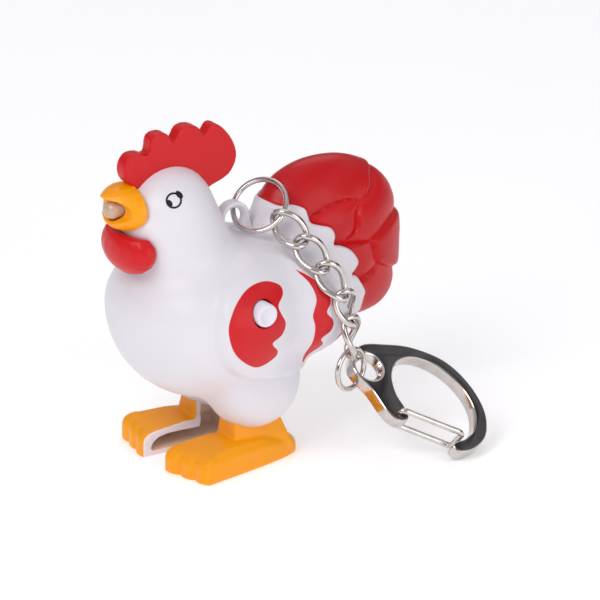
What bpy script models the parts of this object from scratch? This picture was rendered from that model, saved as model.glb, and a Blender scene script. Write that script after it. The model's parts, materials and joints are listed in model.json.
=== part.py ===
"""Rooster key-ring light: two ABS half shells with comb, beak, wattle, tail and feet, a push button,
an LED with its circuit and cells, and a chain with a wire-gate clip.

The toy stands on its feet. It faces -Y, its left side is +X and the shells part at X = 0.
Lengths are written in millimetres and scaled to metres when a mesh is made.
"""

import math

import bmesh
import bpy
import numpy as np

MM = 0.001

# Where the middle of the whole object's footprint lies in the toy's own frame.
FRAME_CENTRE = (4.6, 6.85)

# Body, as blended round forms: centre, radii.
WALL = 1.5
PART_GAP = 0.15
BODY_CENTRE = (0.0, 1.0, 25.5)
CHEST = ((0.0, -3.5, 24.8), 14.65)
CHEST_TOP_RISE = 10.7
HEAD = ((0.0, -10.0, 40.5), 7.6)
HIND = ((0.0, 8.0, 24.3), (11.6, 12.5, 10.6))
RUMP = ((0.0, 9.0, 27.6), 7.4, (0.0, 14.5, 32.5), 5.6)
THIGH = ((5.6, 2.0, 12.6), (6.2, 7.6, 7.4))
BLEND = 2.4

# Wing: a raised panel on each side, as (Y, Z) corners of a smooth outline.
WING_OUTLINE = (
    (-9.2, 25.0), (-7.6, 30.6), (-2.5, 34.0), (4.0, 33.8), (9.4, 30.6), (13.6, 26.4),
    (16.6, 21.4), (16.4, 18.6), (11.6, 16.6), (5.2, 15.0), (-2.0, 15.8), (-7.2, 19.0),
)
WING_HEIGHT = 1.6
WING_EDGE = 1.4

# Push button in the left wing.
BUTTON_AT = (-2.3, 27.4)
BUTTON_RADIUS = 1.85
BUTTON_FACE_X = 16.7
BUTTON_TRAVEL = 0.7
BUTTON_CLEARANCE = 0.3

# Comb plate, as (Y, Z) corners.
COMB_THICK = 2.3
COMB_OUTLINE = (
    (-17.6, 46.9), (-18.3, 49.4), (-17.2, 51.1), (-15.4, 51.2), (-13.9, 50.8), (-13.4, 53.0), (-12.3, 53.7),
    (-10.6, 53.4), (-9.4, 51.9), (-8.2, 53.6), (-6.6, 53.9), (-5.0, 53.3), (-3.9, 51.8), (-2.6, 53.2),
    (-1.0, 52.7), (1.0, 50.2), (1.8, 47.3), (0.4, 44.7), (-2.9, 43.4), (-5.0, 42.5), (-9.0, 43.5),
    (-13.5, 44.5),
)
COMB_TONGUE = 2.0

# Beak, lamp and wattle.
LAMP_RADIUS = 1.5
LAMP_AXIS_Z = 42.9
LAMP_TIP_Y = -20.9
LAMP_FLANGE_Y = -15.6
BEAK_MOUTH = (
    (-24.0, 37.0), (-24.0, 45.1), (-21.2, 45.0), (-20.0, 44.8), (-19.0, 44.3), (-18.45, 43.6), (-18.3, 42.83),
    (-18.5, 42.2), (-19.0, 41.8), (-19.6, 41.5), (-20.1, 41.0), (-20.4, 40.2), (-20.5, 37.0),
)
WATTLE = ((0.0, -16.4, 36.4), (6.1, 3.3, 4.3))

# Lug on the back.
LUG_AT = (2.1, 37.1)
LUG_OUTER = 2.6
LUG_HOLE = 1.55
LUG_THICK = 1.9

# Tail: a thick lens behind the rump, (angle, reach) from its centre.
TAIL_CENTRE = (18.0, 30.6)
TAIL_HALF_THICK = 6.6
TAIL_WALL = 1.4
TAIL_REACH = (
    (0, 13.6), (22, 13.6), (45, 13.6), (70, 13.2), (90, 13.1), (110, 13.5), (130, 13.9), (150, 13.0),
    (180, 11.0), (215, 10.0), (245, 10.5), (270, 12.2), (295, 15.0), (312, 16.4), (330, 15.2), (346, 13.8),
)

# Feet: hollow shells, open on the side that faces the other foot.
FOOT_INNER_TOE = (2.9, -11.9)
FOOT_OUTER_TOE = (12.2, -9.7)
FOOT_INNER_X = 2.9
FOOT_TOPS = ((-12.0, 3.7), (-8.0, 4.1), (-3.0, 4.5), (2.0, 4.2), (10.0, 2.3))
FOOT_EDGE_REACH = 1.8
FOOT_EDGE_DROP = 1.3
FOOT_FLOOR = 0.8
FOOT_WALL = 1.2
LEG_BASE = ((2.9, -3.0), (8.7, 7.6), 1.9)
LEG_TOP = ((3.5, -2.0), (6.4, 4.0), 11.6)

# Key ring chain: the way each link points, from the ring on the lug to the ring on the clip.
LINK_LENGTH = 7.5
LINK_WIDTH = 5.0
LINK_WIRE = 1.0
LINK_TWIST = math.radians(-46)
LINK_PITCH = 5.2
LINK_HEADINGS = (
    (0.66, 0.39, -0.63), (0.54, 0.41, -0.735), (0.40, 0.42, -0.81), (-0.15, 0.40, -1.02), (0.0, 0.0, -1.0),
)
LINK_TURNS = (-8, 15, 35, 55, 78)
RING_WIRE = 0.85
LUG_RING_RADIUS = 4.3
LUG_RING_CENTRE = (2.25, 5.52, 38.98)
LUG_RING_NORMAL = (0.35, -0.636, 0.688)
LUG_RING_HOLD = (6.3, 6.5, 37.9)
CLIP_RING_RADIUS = 3.1
CLIP_RING_ACROSS = (-0.30, 0.954, 0.0)
CLIP_RING_DIP = math.radians(-14)
TOUCH_GAP = 0.2
CLIP_ALONG = (0.59, 0.515, -0.63)
CLIP_NORMAL = (0.65, 0.14, 0.74)
CLIP_THICK = 2.2
CLIP_EYE_RADIUS = 1.9
EYE_SLACK = 0.5
GATE_WIRE = 0.95

# Insides.
SCREW_PLACES = {
    "shell_screw_chest": (-11.2, 20.0),
    "shell_screw_neck": (-8.6, 36.2),
    "shell_screw_rump": (12.0, 27.0),
}
SCREW_RADIUS = 0.8
SCREW_HEAD_RADIUS = 1.5
BOSS_RADIUS = 2.0
CELL_RADIUS = 3.95
CELL_THICK = 3.6
CELL_AXIS = (-3.5, 19.4)
BOARD_X = (4.6, 5.6)
BOARD_Y = (-8.0, 5.5)
BOARD_Z = (23.9, 31.6)
SPEAKER_AT = (-1.2, 26.0)
SPEAKER_RADIUS = 4.8


def remove_everything():
    for item in list(bpy.data.objects):
        bpy.data.objects.remove(item, do_unlink=True)


def material(name, colour, roughness, metallic=0.0):
    made = bpy.data.materials.new(name)
    made.use_nodes = True
    shader = made.node_tree.nodes["Principled BSDF"]
    shader.inputs["Base Color"].default_value = (*colour, 1.0)
    shader.inputs["Roughness"].default_value = roughness
    shader.inputs["Metallic"].default_value = metallic
    return made


def add_empty(name, place, parent=None):
    empty = bpy.data.objects.new(name, None)
    bpy.context.collection.objects.link(empty)
    empty.parent = parent
    empty.location = [value * MM for value in place]
    return empty


def add_object(name, mesh_data, finish, pivot=(0.0, 0.0, 0.0), cutter=False):
    """Makes an object from (points in mm, faces), given in the toy's frame, with its origin at the pivot."""
    points, faces = mesh_data
    mesh = bpy.data.meshes.new(name)
    places = [tuple((float(value) - away) * MM for value, away in zip(point, pivot)) for point in points]
    mesh.from_pydata(places, [], [tuple(int(i) for i in face) for face in faces])
    work = bmesh.new()
    work.from_mesh(mesh)
    bmesh.ops.remove_doubles(work, verts=work.verts, dist=1e-7)
    bmesh.ops.triangulate(work, faces=work.faces)
    bmesh.ops.recalc_face_normals(work, faces=work.faces)
    if work.calc_volume(signed=True) < 0:
        bmesh.ops.reverse_faces(work, faces=work.faces)
    work.to_mesh(mesh)
    work.free()
    made = bpy.data.objects.new(name, mesh)
    bpy.context.collection.objects.link(made)
    made.location = [value * MM for value in pivot]
    if cutter:
        made.hide_render = True
        made.display_type = "WIRE"
        return made
    mesh.materials.append(finish)
    mesh.shade_smooth()
    mesh.set_sharp_from_angle(angle=math.radians(40))
    made.parent = TOY
    return made


def boolean(target, tool, operation):
    step = target.modifiers.new(operation.lower(), "BOOLEAN")
    step.operation = operation
    step.solver = "EXACT"
    step.object = tool


def carve(target, *mesh_datas):
    """Cuts closed shapes, given in the toy's frame, out of the target."""
    for data in mesh_datas:
        tool = add_object(f"{target.name}_cutter_{len(target.modifiers)}", data, None, cutter=True)
        tool.parent = TOY
        boolean(target, tool, "DIFFERENCE")


def weld_on(target, *mesh_datas):
    """Joins closed shapes to the target."""
    for data in mesh_datas:
        tool = add_object(f"{target.name}_joined_{len(target.modifiers)}", data, None, cutter=True)
        tool.parent = TOY
        boolean(target, tool, "UNION")


# ---- shapes as (points, faces) ----


def grid_faces(rows, columns, start=0, closed=True):
    faces = []
    for row in range(rows - 1):
        for column in range(columns if closed else columns - 1):
            here = start + row * columns + column
            beside = start + row * columns + (column + 1) % columns
            faces.append((here, beside, beside + columns, here + columns))
    return faces


def tube(path, radius, sides=8, closed=False):
    """A round tube along points, with flat ends or joined into a ring."""
    path = np.asarray(path, dtype=float)
    count = len(path)
    if closed:
        ahead = np.roll(path, -1, 0) - np.roll(path, 1, 0)
    else:
        ahead = np.gradient(path, axis=0)
    ahead /= np.linalg.norm(ahead, axis=1)[:, None]
    across = np.cross(ahead[0], (0.31, 0.17, 0.93))
    frames = []
    for direction in ahead:
        across = across - direction * (across @ direction)
        across = across / np.linalg.norm(across)
        frames.append((across, np.cross(direction, across)))
    if closed:
        last = frames[-1][0] - ahead[0] * (frames[-1][0] @ ahead[0])
        slip = math.atan2(last @ frames[0][1], last @ frames[0][0])
    points = []
    for index, (place, (first, second)) in enumerate(zip(path, frames)):
        turn = -slip * index / count if closed else 0.0
        for side in range(sides):
            angle = turn + math.tau * side / sides
            points.append(place + radius * (math.cos(angle) * first + math.sin(angle) * second))
    faces = grid_faces(count, sides)
    if closed:
        top = (count - 1) * sides
        faces += [(top + i, top + (i + 1) % sides, (i + 1) % sides, i) for i in range(sides)]
    else:
        faces.append(tuple(range(sides)))
        faces.append(tuple(range((count - 1) * sides, count * sides)))
    return points, faces


def turned(profile, centre, axis, sides=24):
    """Turns (distance along axis, radius) pairs about an axis into a closed solid."""
    axis = np.asarray(axis, dtype=float)
    axis /= np.linalg.norm(axis)
    first = np.cross(axis, (0.0, 0.0, 1.0) if abs(axis[2]) < 0.9 else (1.0, 0.0, 0.0))
    first /= np.linalg.norm(first)
    second = np.cross(axis, first)
    points = []
    for along, radius in profile:
        for side in range(sides):
            angle = math.tau * side / sides
            spoke = math.cos(angle) * first + math.sin(angle) * second
            points.append(np.asarray(centre) + along * axis + radius * spoke)
    faces = grid_faces(len(profile), sides)
    faces.append(tuple(range(sides)))
    faces.append(tuple(range((len(profile) - 1) * sides, len(profile) * sides)))
    return points, faces


def rod(centre, axis, start, end, radius, sides=24):
    return turned(((start, radius), (end, radius)), centre, axis, sides)


def block(low, high):
    points = [(x, y, z) for x in (low[0], high[0]) for y in (low[1], high[1]) for z in (low[2], high[2])]
    faces = [(0, 1, 3, 2), (4, 6, 7, 5), (0, 4, 5, 1), (2, 3, 7, 6), (0, 2, 6, 4), (1, 5, 7, 3)]
    return points, faces


def prism(outline, lower, upper, place):
    """Extrudes a 2-D outline; place(a, b, height) gives the point in space."""
    count = len(outline)
    points = [place(a, b, lower) for a, b in outline] + [place(a, b, upper) for a, b in outline]
    faces = [tuple(range(count)), tuple(range(count, 2 * count))]
    faces += [(i, (i + 1) % count, count + (i + 1) % count, count + i) for i in range(count)]
    return points, faces


def smooth_outline(corners, steps=3):
    """A closed Catmull-Rom curve through the corners."""
    corners = np.asarray(corners, dtype=float)
    result = []
    for index in range(len(corners)):
        a, b, c, d = (corners[(index + shift) % len(corners)] for shift in (-1, 0, 1, 2))
        for step in range(steps):
            t = step / steps
            bend = (2 * a - 5 * b + 4 * c - d) * t**2 + (3 * b - a - 3 * c + d) * t**3
            result.append(0.5 * (2 * b + (c - a) * t + bend))
    return np.array(result)


# ---- the body's form ----


def ellipsoid_field(points, centre, radii):
    scaled = (points - centre) / radii
    length = np.linalg.norm(scaled, axis=-1)
    slope = np.linalg.norm(scaled / radii, axis=-1) + 1e-9
    return length * (length - 1.0) / slope


def capsule_field(points, start, start_radius, end, end_radius):
    start, end = np.asarray(start), np.asarray(end)
    along = np.clip(((points - start) @ (end - start)) / ((end - start) @ (end - start)), 0.0, 1.0)
    nearest = start + along[..., None] * (end - start)
    return np.linalg.norm(points - nearest, axis=-1) - (start_radius + along * (end_radius - start_radius))


def blended(first, second, reach):
    mix = np.clip(0.5 + 0.5 * (second - first) / reach, 0.0, 1.0)
    return second * (1 - mix) + first * mix - reach * mix * (1 - mix)


def body_field(points):
    """Signed distance, near enough, to the outside of the body; the sides mirror each other."""
    points = np.array(points, dtype=float)
    points[..., 0] = np.abs(points[..., 0])
    chest_points = points - CHEST[0]
    squash = np.where(chest_points[..., 2] > 0, CHEST[1] / CHEST_TOP_RISE, 1.0)
    chest_points[..., 2] *= squash
    chest = (np.linalg.norm(chest_points, axis=-1) - CHEST[1]) / np.sqrt(squash)
    neck = capsule_field(points, HEAD[0], HEAD[1], CHEST[0], CHEST_TOP_RISE - 2.4)
    hind = ellipsoid_field(points, *HIND)
    rump = capsule_field(points, *RUMP)
    thigh = ellipsoid_field(points, *THIGH)
    field = blended(chest, neck, BLEND)
    field = blended(field, hind, BLEND)
    field = blended(field, rump, BLEND)
    return blended(field, thigh, BLEND)


def cast_out(field, centre, directions, level, reach=42.0, samples=84):
    """Furthest distance along each direction at which the field is still below the level."""
    steps = np.linspace(0.0, reach, samples)
    inside = field(centre + directions[..., None, :] * steps[:, None]) < level
    last = samples - 1 - np.argmax(inside[..., ::-1], axis=-1)
    low, high = steps[last], steps[np.minimum(last + 1, samples - 1)]
    for _ in range(24):
        middle = 0.5 * (low + high)
        is_in = field(centre + directions * middle[..., None]) < level
        low, high = np.where(is_in, middle, low), np.where(is_in, high, middle)
    return centre + directions * low[..., None]


def outline_distance(y, z, outline):
    """Signed distance in the side view to a closed outline, negative inside."""
    start = np.asarray(outline)
    end = np.roll(start, -1, 0)
    spot = np.stack([y, z], -1)[..., None, :]
    along = np.clip(((spot - start) * (end - start)).sum(-1) / ((end - start) ** 2).sum(-1), 0, 1)
    distance = np.linalg.norm(spot - start - along[..., None] * (end - start), axis=-1).min(-1)
    above = (start[:, 1] > spot[..., 1]) != (end[:, 1] > spot[..., 1])
    rise = end[:, 1] - start[:, 1]
    lean = (end[:, 0] - start[:, 0]) / np.where(rise == 0, 1, rise)
    crossing = start[:, 0] + (spot[..., 1] - start[:, 1]) * lean
    inside = (above & (spot[..., 0] < crossing)).sum(-1) % 2 == 1
    return np.where(inside, -distance, distance)


def wing_relief(points):
    """Height of the wing panel above the body at each point."""
    away = outline_distance(points[..., 1], points[..., 2], smooth_outline(WING_OUTLINE))
    share = np.clip(0.5 - away / WING_EDGE, 0.0, 1.0)
    return WING_HEIGHT * share * share * (3 - 2 * share)


def polar_directions(rings, spokes):
    """Directions over the half sphere about +X, pole first, the last ring in the parting plane."""
    tilt = (math.pi / 2) * np.arange(1, rings + 1) / rings
    turn = math.tau * np.arange(spokes) / spokes
    grid = np.stack(
        [
            np.cos(tilt)[:, None] * np.ones(spokes),
            np.sin(tilt)[:, None] * np.cos(turn),
            np.sin(tilt)[:, None] * np.sin(turn),
        ],
        -1,
    )
    return np.concatenate([[[1.0, 0.0, 0.0]], grid.reshape(-1, 3)])


def half_surface_faces(rings, spokes, start=0):
    faces = [(start, start + 1 + i, start + 1 + (i + 1) % spokes) for i in range(spokes)]
    return faces + grid_faces(rings, spokes, start + 1)


def half_shell(outer, inner, rings, spokes, side):
    """Closes an outer and an inner half surface with a flat rim; side is +1 left, -1 right."""
    points = np.concatenate([outer, inner])
    rim_out = 1 + (rings - 1) * spokes
    rim_in = len(outer) + rim_out
    faces = half_surface_faces(rings, spokes) + half_surface_faces(rings, spokes, len(outer))
    faces += [
        (rim_out + i, rim_out + (i + 1) % spokes, rim_in + (i + 1) % spokes, rim_in + i) for i in range(spokes)
    ]
    return points * (side, 1, 1), faces


def half_body(side, rings=13, spokes=36):
    centre = np.array((PART_GAP, *BODY_CENTRE[1:]))
    directions = polar_directions(rings, spokes)
    outer = cast_out(body_field, centre, directions, 0.0)
    inner = cast_out(body_field, centre, directions, -WALL)
    outer[:, 0] += np.where(outer[:, 0] > PART_GAP + 0.01, wing_relief(outer), 0.0)
    return half_shell(outer, inner, rings, spokes, side)


def body_solid(grow=0.45, rings=13, spokes=34):
    """The whole body as one closed form, grown a little, for clearing what meets it."""
    directions = polar_directions(rings, spokes)
    centre = np.array(BODY_CENTRE)
    half = cast_out(body_field, centre, directions, grow)
    half[:, 0] = np.maximum(half[:, 0], 0.0)
    other = half[: 1 + (rings - 1) * spokes] * (-1, 1, 1)
    faces = half_surface_faces(rings, spokes)
    start = len(half)
    mirrored = half_surface_faces(rings - 1, spokes, start)
    seam_out, seam_in = 1 + (rings - 1) * spokes, start + 1 + (rings - 2) * spokes
    join = []
    for i in range(spokes):
        following = (i + 1) % spokes
        join.append((seam_out + i, seam_out + following, seam_in + following, seam_in + i))
    return np.concatenate([half, other]), faces + mirrored + join


# ---- shells ----


def along_x(y, z):
    return (0.0, y, z), (1.0, 0.0, 0.0)


def make_shells():
    lug = smooth_lug()
    for side, name in ((1, "body_shell_left"), (-1, "body_shell_right")):
        shell = add_object(name, half_body(side), WHITE_ABS)
        bosses = []
        bores = []
        for y, z in SCREW_PLACES.values():
            reach = skin_x(y, z) - 0.6
            spot, axis = along_x(y, z)
            if side > 0:
                bosses.append(rod(spot, axis, PART_GAP, reach, BOSS_RADIUS))
                bores.append(rod(spot, axis, -1.0, 5.5, SCREW_RADIUS + 0.15, 10))
            else:
                bosses.append(rod(spot, axis, -reach, -PART_GAP, BOSS_RADIUS))
                bores.append(
                    turned(
                        (
                            (1.0, SCREW_RADIUS + 0.25),
                            (-4.0, SCREW_RADIUS + 0.25),
                            (-4.01, SCREW_HEAD_RADIUS + 0.2),
                            (-20.0, SCREW_HEAD_RADIUS + 0.2),
                        ),
                        *along_x(y, z),
                        12,
                    )
                )
        weld_on(shell, *bosses, lug_half(lug, side))
        sockets = (comb_tongue(0.3), beak_root(0.3), wattle_root(0.3), tail_root(0.3), leg_post(side, 0.3))
        carve(shell, *bores, lug_bore(), *sockets)
        if side > 0:
            carve(shell, rod(*along_x(*BUTTON_AT), 8.0, 20.0, BUTTON_RADIUS + BUTTON_CLEARANCE))
        else:
            carve(shell, *speaker_holes())


def skin_x(y, z):
    """Half width of the body's outside at (Y, Z), without the wing."""
    spot = np.array((0.0, y, z))
    return float(cast_out(body_field, spot, np.array((1.0, 0.0, 0.0)), 0.0)[0])


def smooth_lug():
    """Side outline of the lug: a round eye on a wide foot sunk into the back."""
    y, z = LUG_AT
    arc = [(y + LUG_OUTER * math.cos(t), z + LUG_OUTER * math.sin(t)) for t in np.radians(np.arange(-10, 191, 20))]
    return arc + [(y - LUG_OUTER - 0.3, z - 3.6), (y + LUG_OUTER + 0.3, z - 3.6)]


def lug_half(outline, side):
    return prism(outline, PART_GAP * side, LUG_THICK / 2 * side, lambda y, z, x: (x, y, z))


def lug_bore():
    """A hole that flares to both faces, so the ring can lie across it."""
    half = LUG_THICK / 2
    profile = ((-half - 0.8, LUG_HOLE + 1.4), (-0.25, LUG_HOLE), (0.25, LUG_HOLE), (half + 0.8, LUG_HOLE + 1.4))
    return turned(profile, *along_x(*LUG_AT), 16)


def speaker_holes():
    y, z = SPEAKER_AT
    holes = [rod(*along_x(y, z), -20.0, -10.0, 0.55, 8)]
    for number in range(6):
        angle = math.tau * number / 6
        holes.append(rod(*along_x(y + 2.6 * math.cos(angle), z + 2.6 * math.sin(angle)), -20.0, -8.0, 0.55, 8))
    return holes


# ---- comb, beak, wattle ----


def comb_tongue(grow):
    """Foot of the comb, which the two shells grip."""
    low = (-COMB_TONGUE / 2 - grow, -12.2 - grow, 44.5)
    high = (COMB_TONGUE / 2 + grow, -6.3 + grow, 49.5)
    return block(low, high)


def make_comb():
    outline = smooth_outline(COMB_OUTLINE, 2)
    half = COMB_THICK / 2
    comb = add_object("comb", prism(outline, -half, half, lambda y, z, x: (x, y, z)), RED_PLASTIC)
    carve(comb, body_solid(0.65), rod((0.0, 0.0, 43.0), (0, 1, 0), -24.0, -12.0, 4.3, 24))
    weld_on(comb, block((-1.0, -12.2, 45.2), (1.0, -6.3, 49.5)))


def beak_root(grow):
    return rod((0.0, 0.0, LAMP_AXIS_Z - 0.6), (0, 1, 0), -20.0, -12.5 + grow, 2.8 + grow, 18)


def make_beak():
    """Upper and lower mandible round the lamp, with a hollow root that plugs into the head."""
    rows = (
        # Y, half width, top Z, bottom Z
        (-16.2, 5.0, 46.5, 39.3),
        (-17.5, 4.8, 46.5, 39.2),
        (-18.5, 4.2, 46.4, 39.5),
        (-19.4, 3.4, 46.2, 39.9),
        (-20.3, 2.4, 45.9, 40.7),
        (-21.2, 1.1, 45.6, 42.4),
    )
    sides = 20
    points = []
    for y, half_width, top, bottom in rows:
        middle, half_height = (top + bottom) / 2, (top - bottom) / 2
        for index in range(sides):
            angle = math.tau * index / sides
            points.append((half_width * math.cos(angle), y, middle + half_height * math.sin(angle)))
    faces = grid_faces(len(rows), sides)
    faces.append(tuple(range(sides)))
    faces.append(tuple(range((len(rows) - 1) * sides, len(rows) * sides)))
    beak = add_object("beak", (points, faces), YELLOW_PLASTIC)
    carve(beak, body_solid(0.5, 15, 40), prism(BEAK_MOUTH, -7.0, 7.0, lambda y, z, x: (x, y, z)))
    weld_on(beak, rod((0.0, 0.0, LAMP_AXIS_Z - 0.6), (0, 1, 0), -17.6, -12.8, 2.8, 18))
    bore = ((-27.0, LAMP_RADIUS + 0.3), (-16.9, LAMP_RADIUS + 0.3), (-16.89, 1.95), (-10.0, 1.95))
    carve(beak, turned(bore, (0, 0, LAMP_AXIS_Z), (0, 1, 0), 20))


def wattle_root(grow):
    return rod((0.0, 0.0, WATTLE[0][2]), (0, 1, 0), -18.0, -11.8 + grow, 1.4 + grow, 16)


def make_wattle():
    centre, radii = np.array(WATTLE[0]), np.array(WATTLE[1])
    rings, spokes = 8, 20
    points = [centre - (0, radii[1], 0)]
    for ring in range(1, rings):
        tilt = math.pi * ring / rings
        for spoke in range(spokes):
            turn = math.tau * spoke / spokes
            away = (math.sin(tilt) * math.cos(turn), -math.cos(tilt), math.sin(tilt) * math.sin(turn))
            points.append(centre + radii * away)
    points.append(centre + (0, radii[1], 0))
    last = len(points) - 1
    faces = [(0, 1 + i, 1 + (i + 1) % spokes) for i in range(spokes)]
    faces += grid_faces(rings - 1, spokes, 1)
    faces += [(last, last - spokes + i, last - spokes + (i + 1) % spokes) for i in range(spokes)]
    wattle = add_object("wattle", (points, faces), RED_PLASTIC)
    carve(wattle, body_solid(), beak_clearance())
    weld_on(wattle, rod((0.0, 0.0, centre[2]), (0, 1, 0), -17.0, -12.1, 1.4, 16))


def beak_clearance():
    return block((-8.0, -24.0, 38.8), (8.0, -12.0, 44.0))


# ---- tail ----


def tail_reach(turn):
    angles = np.radians([angle for angle, _ in TAIL_REACH] + [360 + TAIL_REACH[0][0]])
    reaches = [reach for _, reach in TAIL_REACH] + [TAIL_REACH[0][1]]
    return np.interp(turn % math.tau, angles, reaches)


def tail_surface(inset, rings, spokes):
    directions = polar_directions(rings, spokes)
    turn = np.arctan2(directions[:, 2], directions[:, 1])
    flat = np.hypot(directions[:, 1], directions[:, 2])
    reach = (tail_reach(turn) - inset) * flat
    x = (TAIL_HALF_THICK - inset) * directions[:, 0] + PART_GAP
    y = TAIL_CENTRE[0] + reach * np.cos(turn)
    z = TAIL_CENTRE[1] + reach * np.sin(turn)
    return np.stack([x, y, z], -1)


def tail_root(grow):
    return block((-2.4 - grow, 8.0, 28.0 - grow), (2.4 + grow, 24.0, 32.5 + grow))


def make_tail():
    rings, spokes = 8, 28
    for side, name in ((1, "tail_half_left"), (-1, "tail_half_right")):
        outer, inner = tail_surface(0, rings, spokes), tail_surface(TAIL_WALL, rings, spokes)
        data = half_shell(outer, inner, rings, spokes, side)
        tail = add_object(name, data, RED_PLASTIC)
        carve(tail, body_solid(0.5))
        low_x, high_x = sorted((PART_GAP * side, 1.6 * side))
        weld_on(tail, block((low_x, 16.0, 28.0), (high_x, 30.9, 32.5)))


# ---- feet ----


def foot_plans(steps=6):
    """Plan of the left foot past its flat inner edge, with toe lobes and with a straight toe."""
    inner, outer = np.array(FOOT_INNER_TOE), np.array(FOOT_OUTER_TOE)
    across = (outer - inner) / 3
    ahead = np.array((across[1], -across[0])) * 0.22
    lobed, plain = [inner - across * 0.8], [inner - across * 0.8]
    for number in range(3):
        middle = inner + across * (number + 0.5)
        for step in range(steps + (number == 2)):
            angle = math.pi * (1 - step / steps)
            plain.append(middle + across * 0.5 * math.cos(angle))
            lobed.append(plain[-1] + ahead * math.sin(angle))
    rest = [(11.0, -3.5), (9.7, 2.5), (8.6, 6.4), (7.5, 8.6), (6.0, 9.6), (4.4, 9.7), (3.2, 9.2), (2.2, 8.4)]
    rest += [(0.4, 8.0), (0.4, 2.0), (0.4, -5.0)]
    return np.array(lobed + rest), np.array(plain + rest)


def foot_height(y):
    return float(np.interp(y, [row[0] for row in FOOT_TOPS], [row[1] for row in FOOT_TOPS]))


def shrink(outline, inset):
    """Moves each corner of an outline inwards along the mean of its two edges' normals."""
    outline = np.asarray(outline, dtype=float)
    before = outline - np.roll(outline, 1, 0)
    after = np.roll(outline, -1, 0) - outline
    before /= np.linalg.norm(before, axis=1)[:, None]
    after /= np.linalg.norm(after, axis=1)[:, None]
    direction = before + after
    inwards = np.stack([-direction[:, 1], direction[:, 0]], -1)
    return outline + inset * inwards / np.linalg.norm(inwards, axis=1)[:, None]


def spine_cap(ring, spine, ring_start, spine_start):
    """Triangles that close a ring of points over a line of points along its length."""
    count = len(ring)
    nearest = [int(np.argmin([abs(point[1] - spot[1]) for spot in spine])) for point in ring]
    faces = []
    for index in range(count):
        following = (index + 1) % count
        here, there = nearest[index], nearest[following]
        faces.append((ring_start + index, ring_start + following, spine_start + here))
        step = 1 if there > here else -1
        for spot in range(here, there, step):
            faces.append((ring_start + following, spine_start + spot, spine_start + spot + step))
    return faces


def foot_slab(side):
    lobed, plain = foot_plans()
    count = len(plain)
    points = [(x * side, y, 0.0) for x, y in lobed]
    turns = np.radians((0, 30, 60, 90))
    for turn in turns:
        share = 1 - math.cos(turn)
        ring = shrink(plain, FOOT_EDGE_REACH * share) + (lobed - plain) * (1 - share)
        drop = FOOT_EDGE_DROP * (1 - math.sin(turn))
        points += [(x * side, y, foot_height(y) - drop) for x, y in ring]
    spine = [(5.6 * side, y, foot_height(y)) for y in (-8.0, -5.5, -3.0, -0.5, 2.0, 4.5, 6.5)]
    faces = [tuple(range(count))] + grid_faces(len(turns) + 1, count)
    faces += spine_cap(points[-count:], spine, len(turns) * count, len(points))
    return points + spine, faces


def frustum(base, top, side, grow=0.0):
    """A block whose top and bottom rectangles differ; each is (low corner, high corner, height)."""
    points = []
    for (low, high, z), drop in ((base, 0.0), (top, grow)):
        for x, y in ((low[0] - grow, low[1] - grow), (high[0] + grow, low[1] - grow)):
            points.append((x * side, y, z + drop))
        for x, y in ((high[0] + grow, high[1] + grow), (low[0] - grow, high[1] + grow)):
            points.append((x * side, y, z + drop))
    return points, [(0, 1, 2, 3), (4, 5, 6, 7)] + grid_faces(2, 4)


def leg_post(side, grow=0.0):
    return frustum(LEG_BASE, LEG_TOP, side, grow)


def foot_hollow(side):
    """The space inside the foot, run out through its inner edge, with an arched front."""
    points = []
    for x, front, back in ((1.0, -11.05, 4.0), (8.0, -9.4, 3.6), (9.3, -9.1, -1.5), (10.2, -8.9, -5.4)):
        arch = ((0.0, FOOT_FLOOR), (0.0, 1.4), (0.4, 2.1), (1.4, 2.7), (3.0, 2.95))
        points += [(x * side, front + along, z) for along, z in arch]
        points += [(x * side, back, min(2.95, foot_height(back) - 1.0)), (x * side, back, FOOT_FLOOR)]
    return points, [tuple(range(7)), tuple(range(21, 28))] + grid_faces(4, 7)


def leg_hollow(side):
    wall = FOOT_WALL
    base = ((1.0, LEG_BASE[0][1] + wall), (LEG_BASE[1][0] - wall, LEG_BASE[1][1] - wall - 2.4), 2.4)
    top = ((1.0, LEG_TOP[0][1] + wall), (LEG_TOP[1][0] - wall, LEG_TOP[1][1] - wall), LEG_TOP[2] - wall)
    return frustum(base, top, side)


def make_feet():
    for side, name in ((1, "foot_left"), (-1, "foot_right")):
        foot = add_object(name, foot_slab(side), YELLOW_PLASTIC)
        low_x, high_x = sorted((-1.0 * side, FOOT_INNER_X * side))
        carve(foot, block((low_x, -14.0, -1.0), (high_x, 11.0, 6.0)))
        weld_on(foot, leg_post(side))
        carve(foot, foot_hollow(side), leg_hollow(side))


# ---- lamp, button and circuit ----


def make_lamp():
    z = LAMP_AXIS_Z
    dome = [(LAMP_TIP_Y + 1.5 - 1.5 * math.cos(t), 1.5 * math.sin(t)) for t in np.radians((8, 30, 50, 70, 90))]
    profile = dome + [(-16.6, 1.5), (-16.59, 1.75), (LAMP_FLANGE_Y, 1.75)]
    lamp = add_object("led_lamp", turned(profile, (0, 0, z), (0, 1, 0), 20), CLEAR_EPOXY)
    for number, x in enumerate((-0.8, 0.8)):
        path = ((x, LAMP_FLANGE_Y + 0.3, z), (x, -13.6, z), (x, -12.2, z))
        add_object(f"led_lead_{number + 1}", tube(path, 0.25, 6), TINNED_WIRE)
    return lamp


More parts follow.
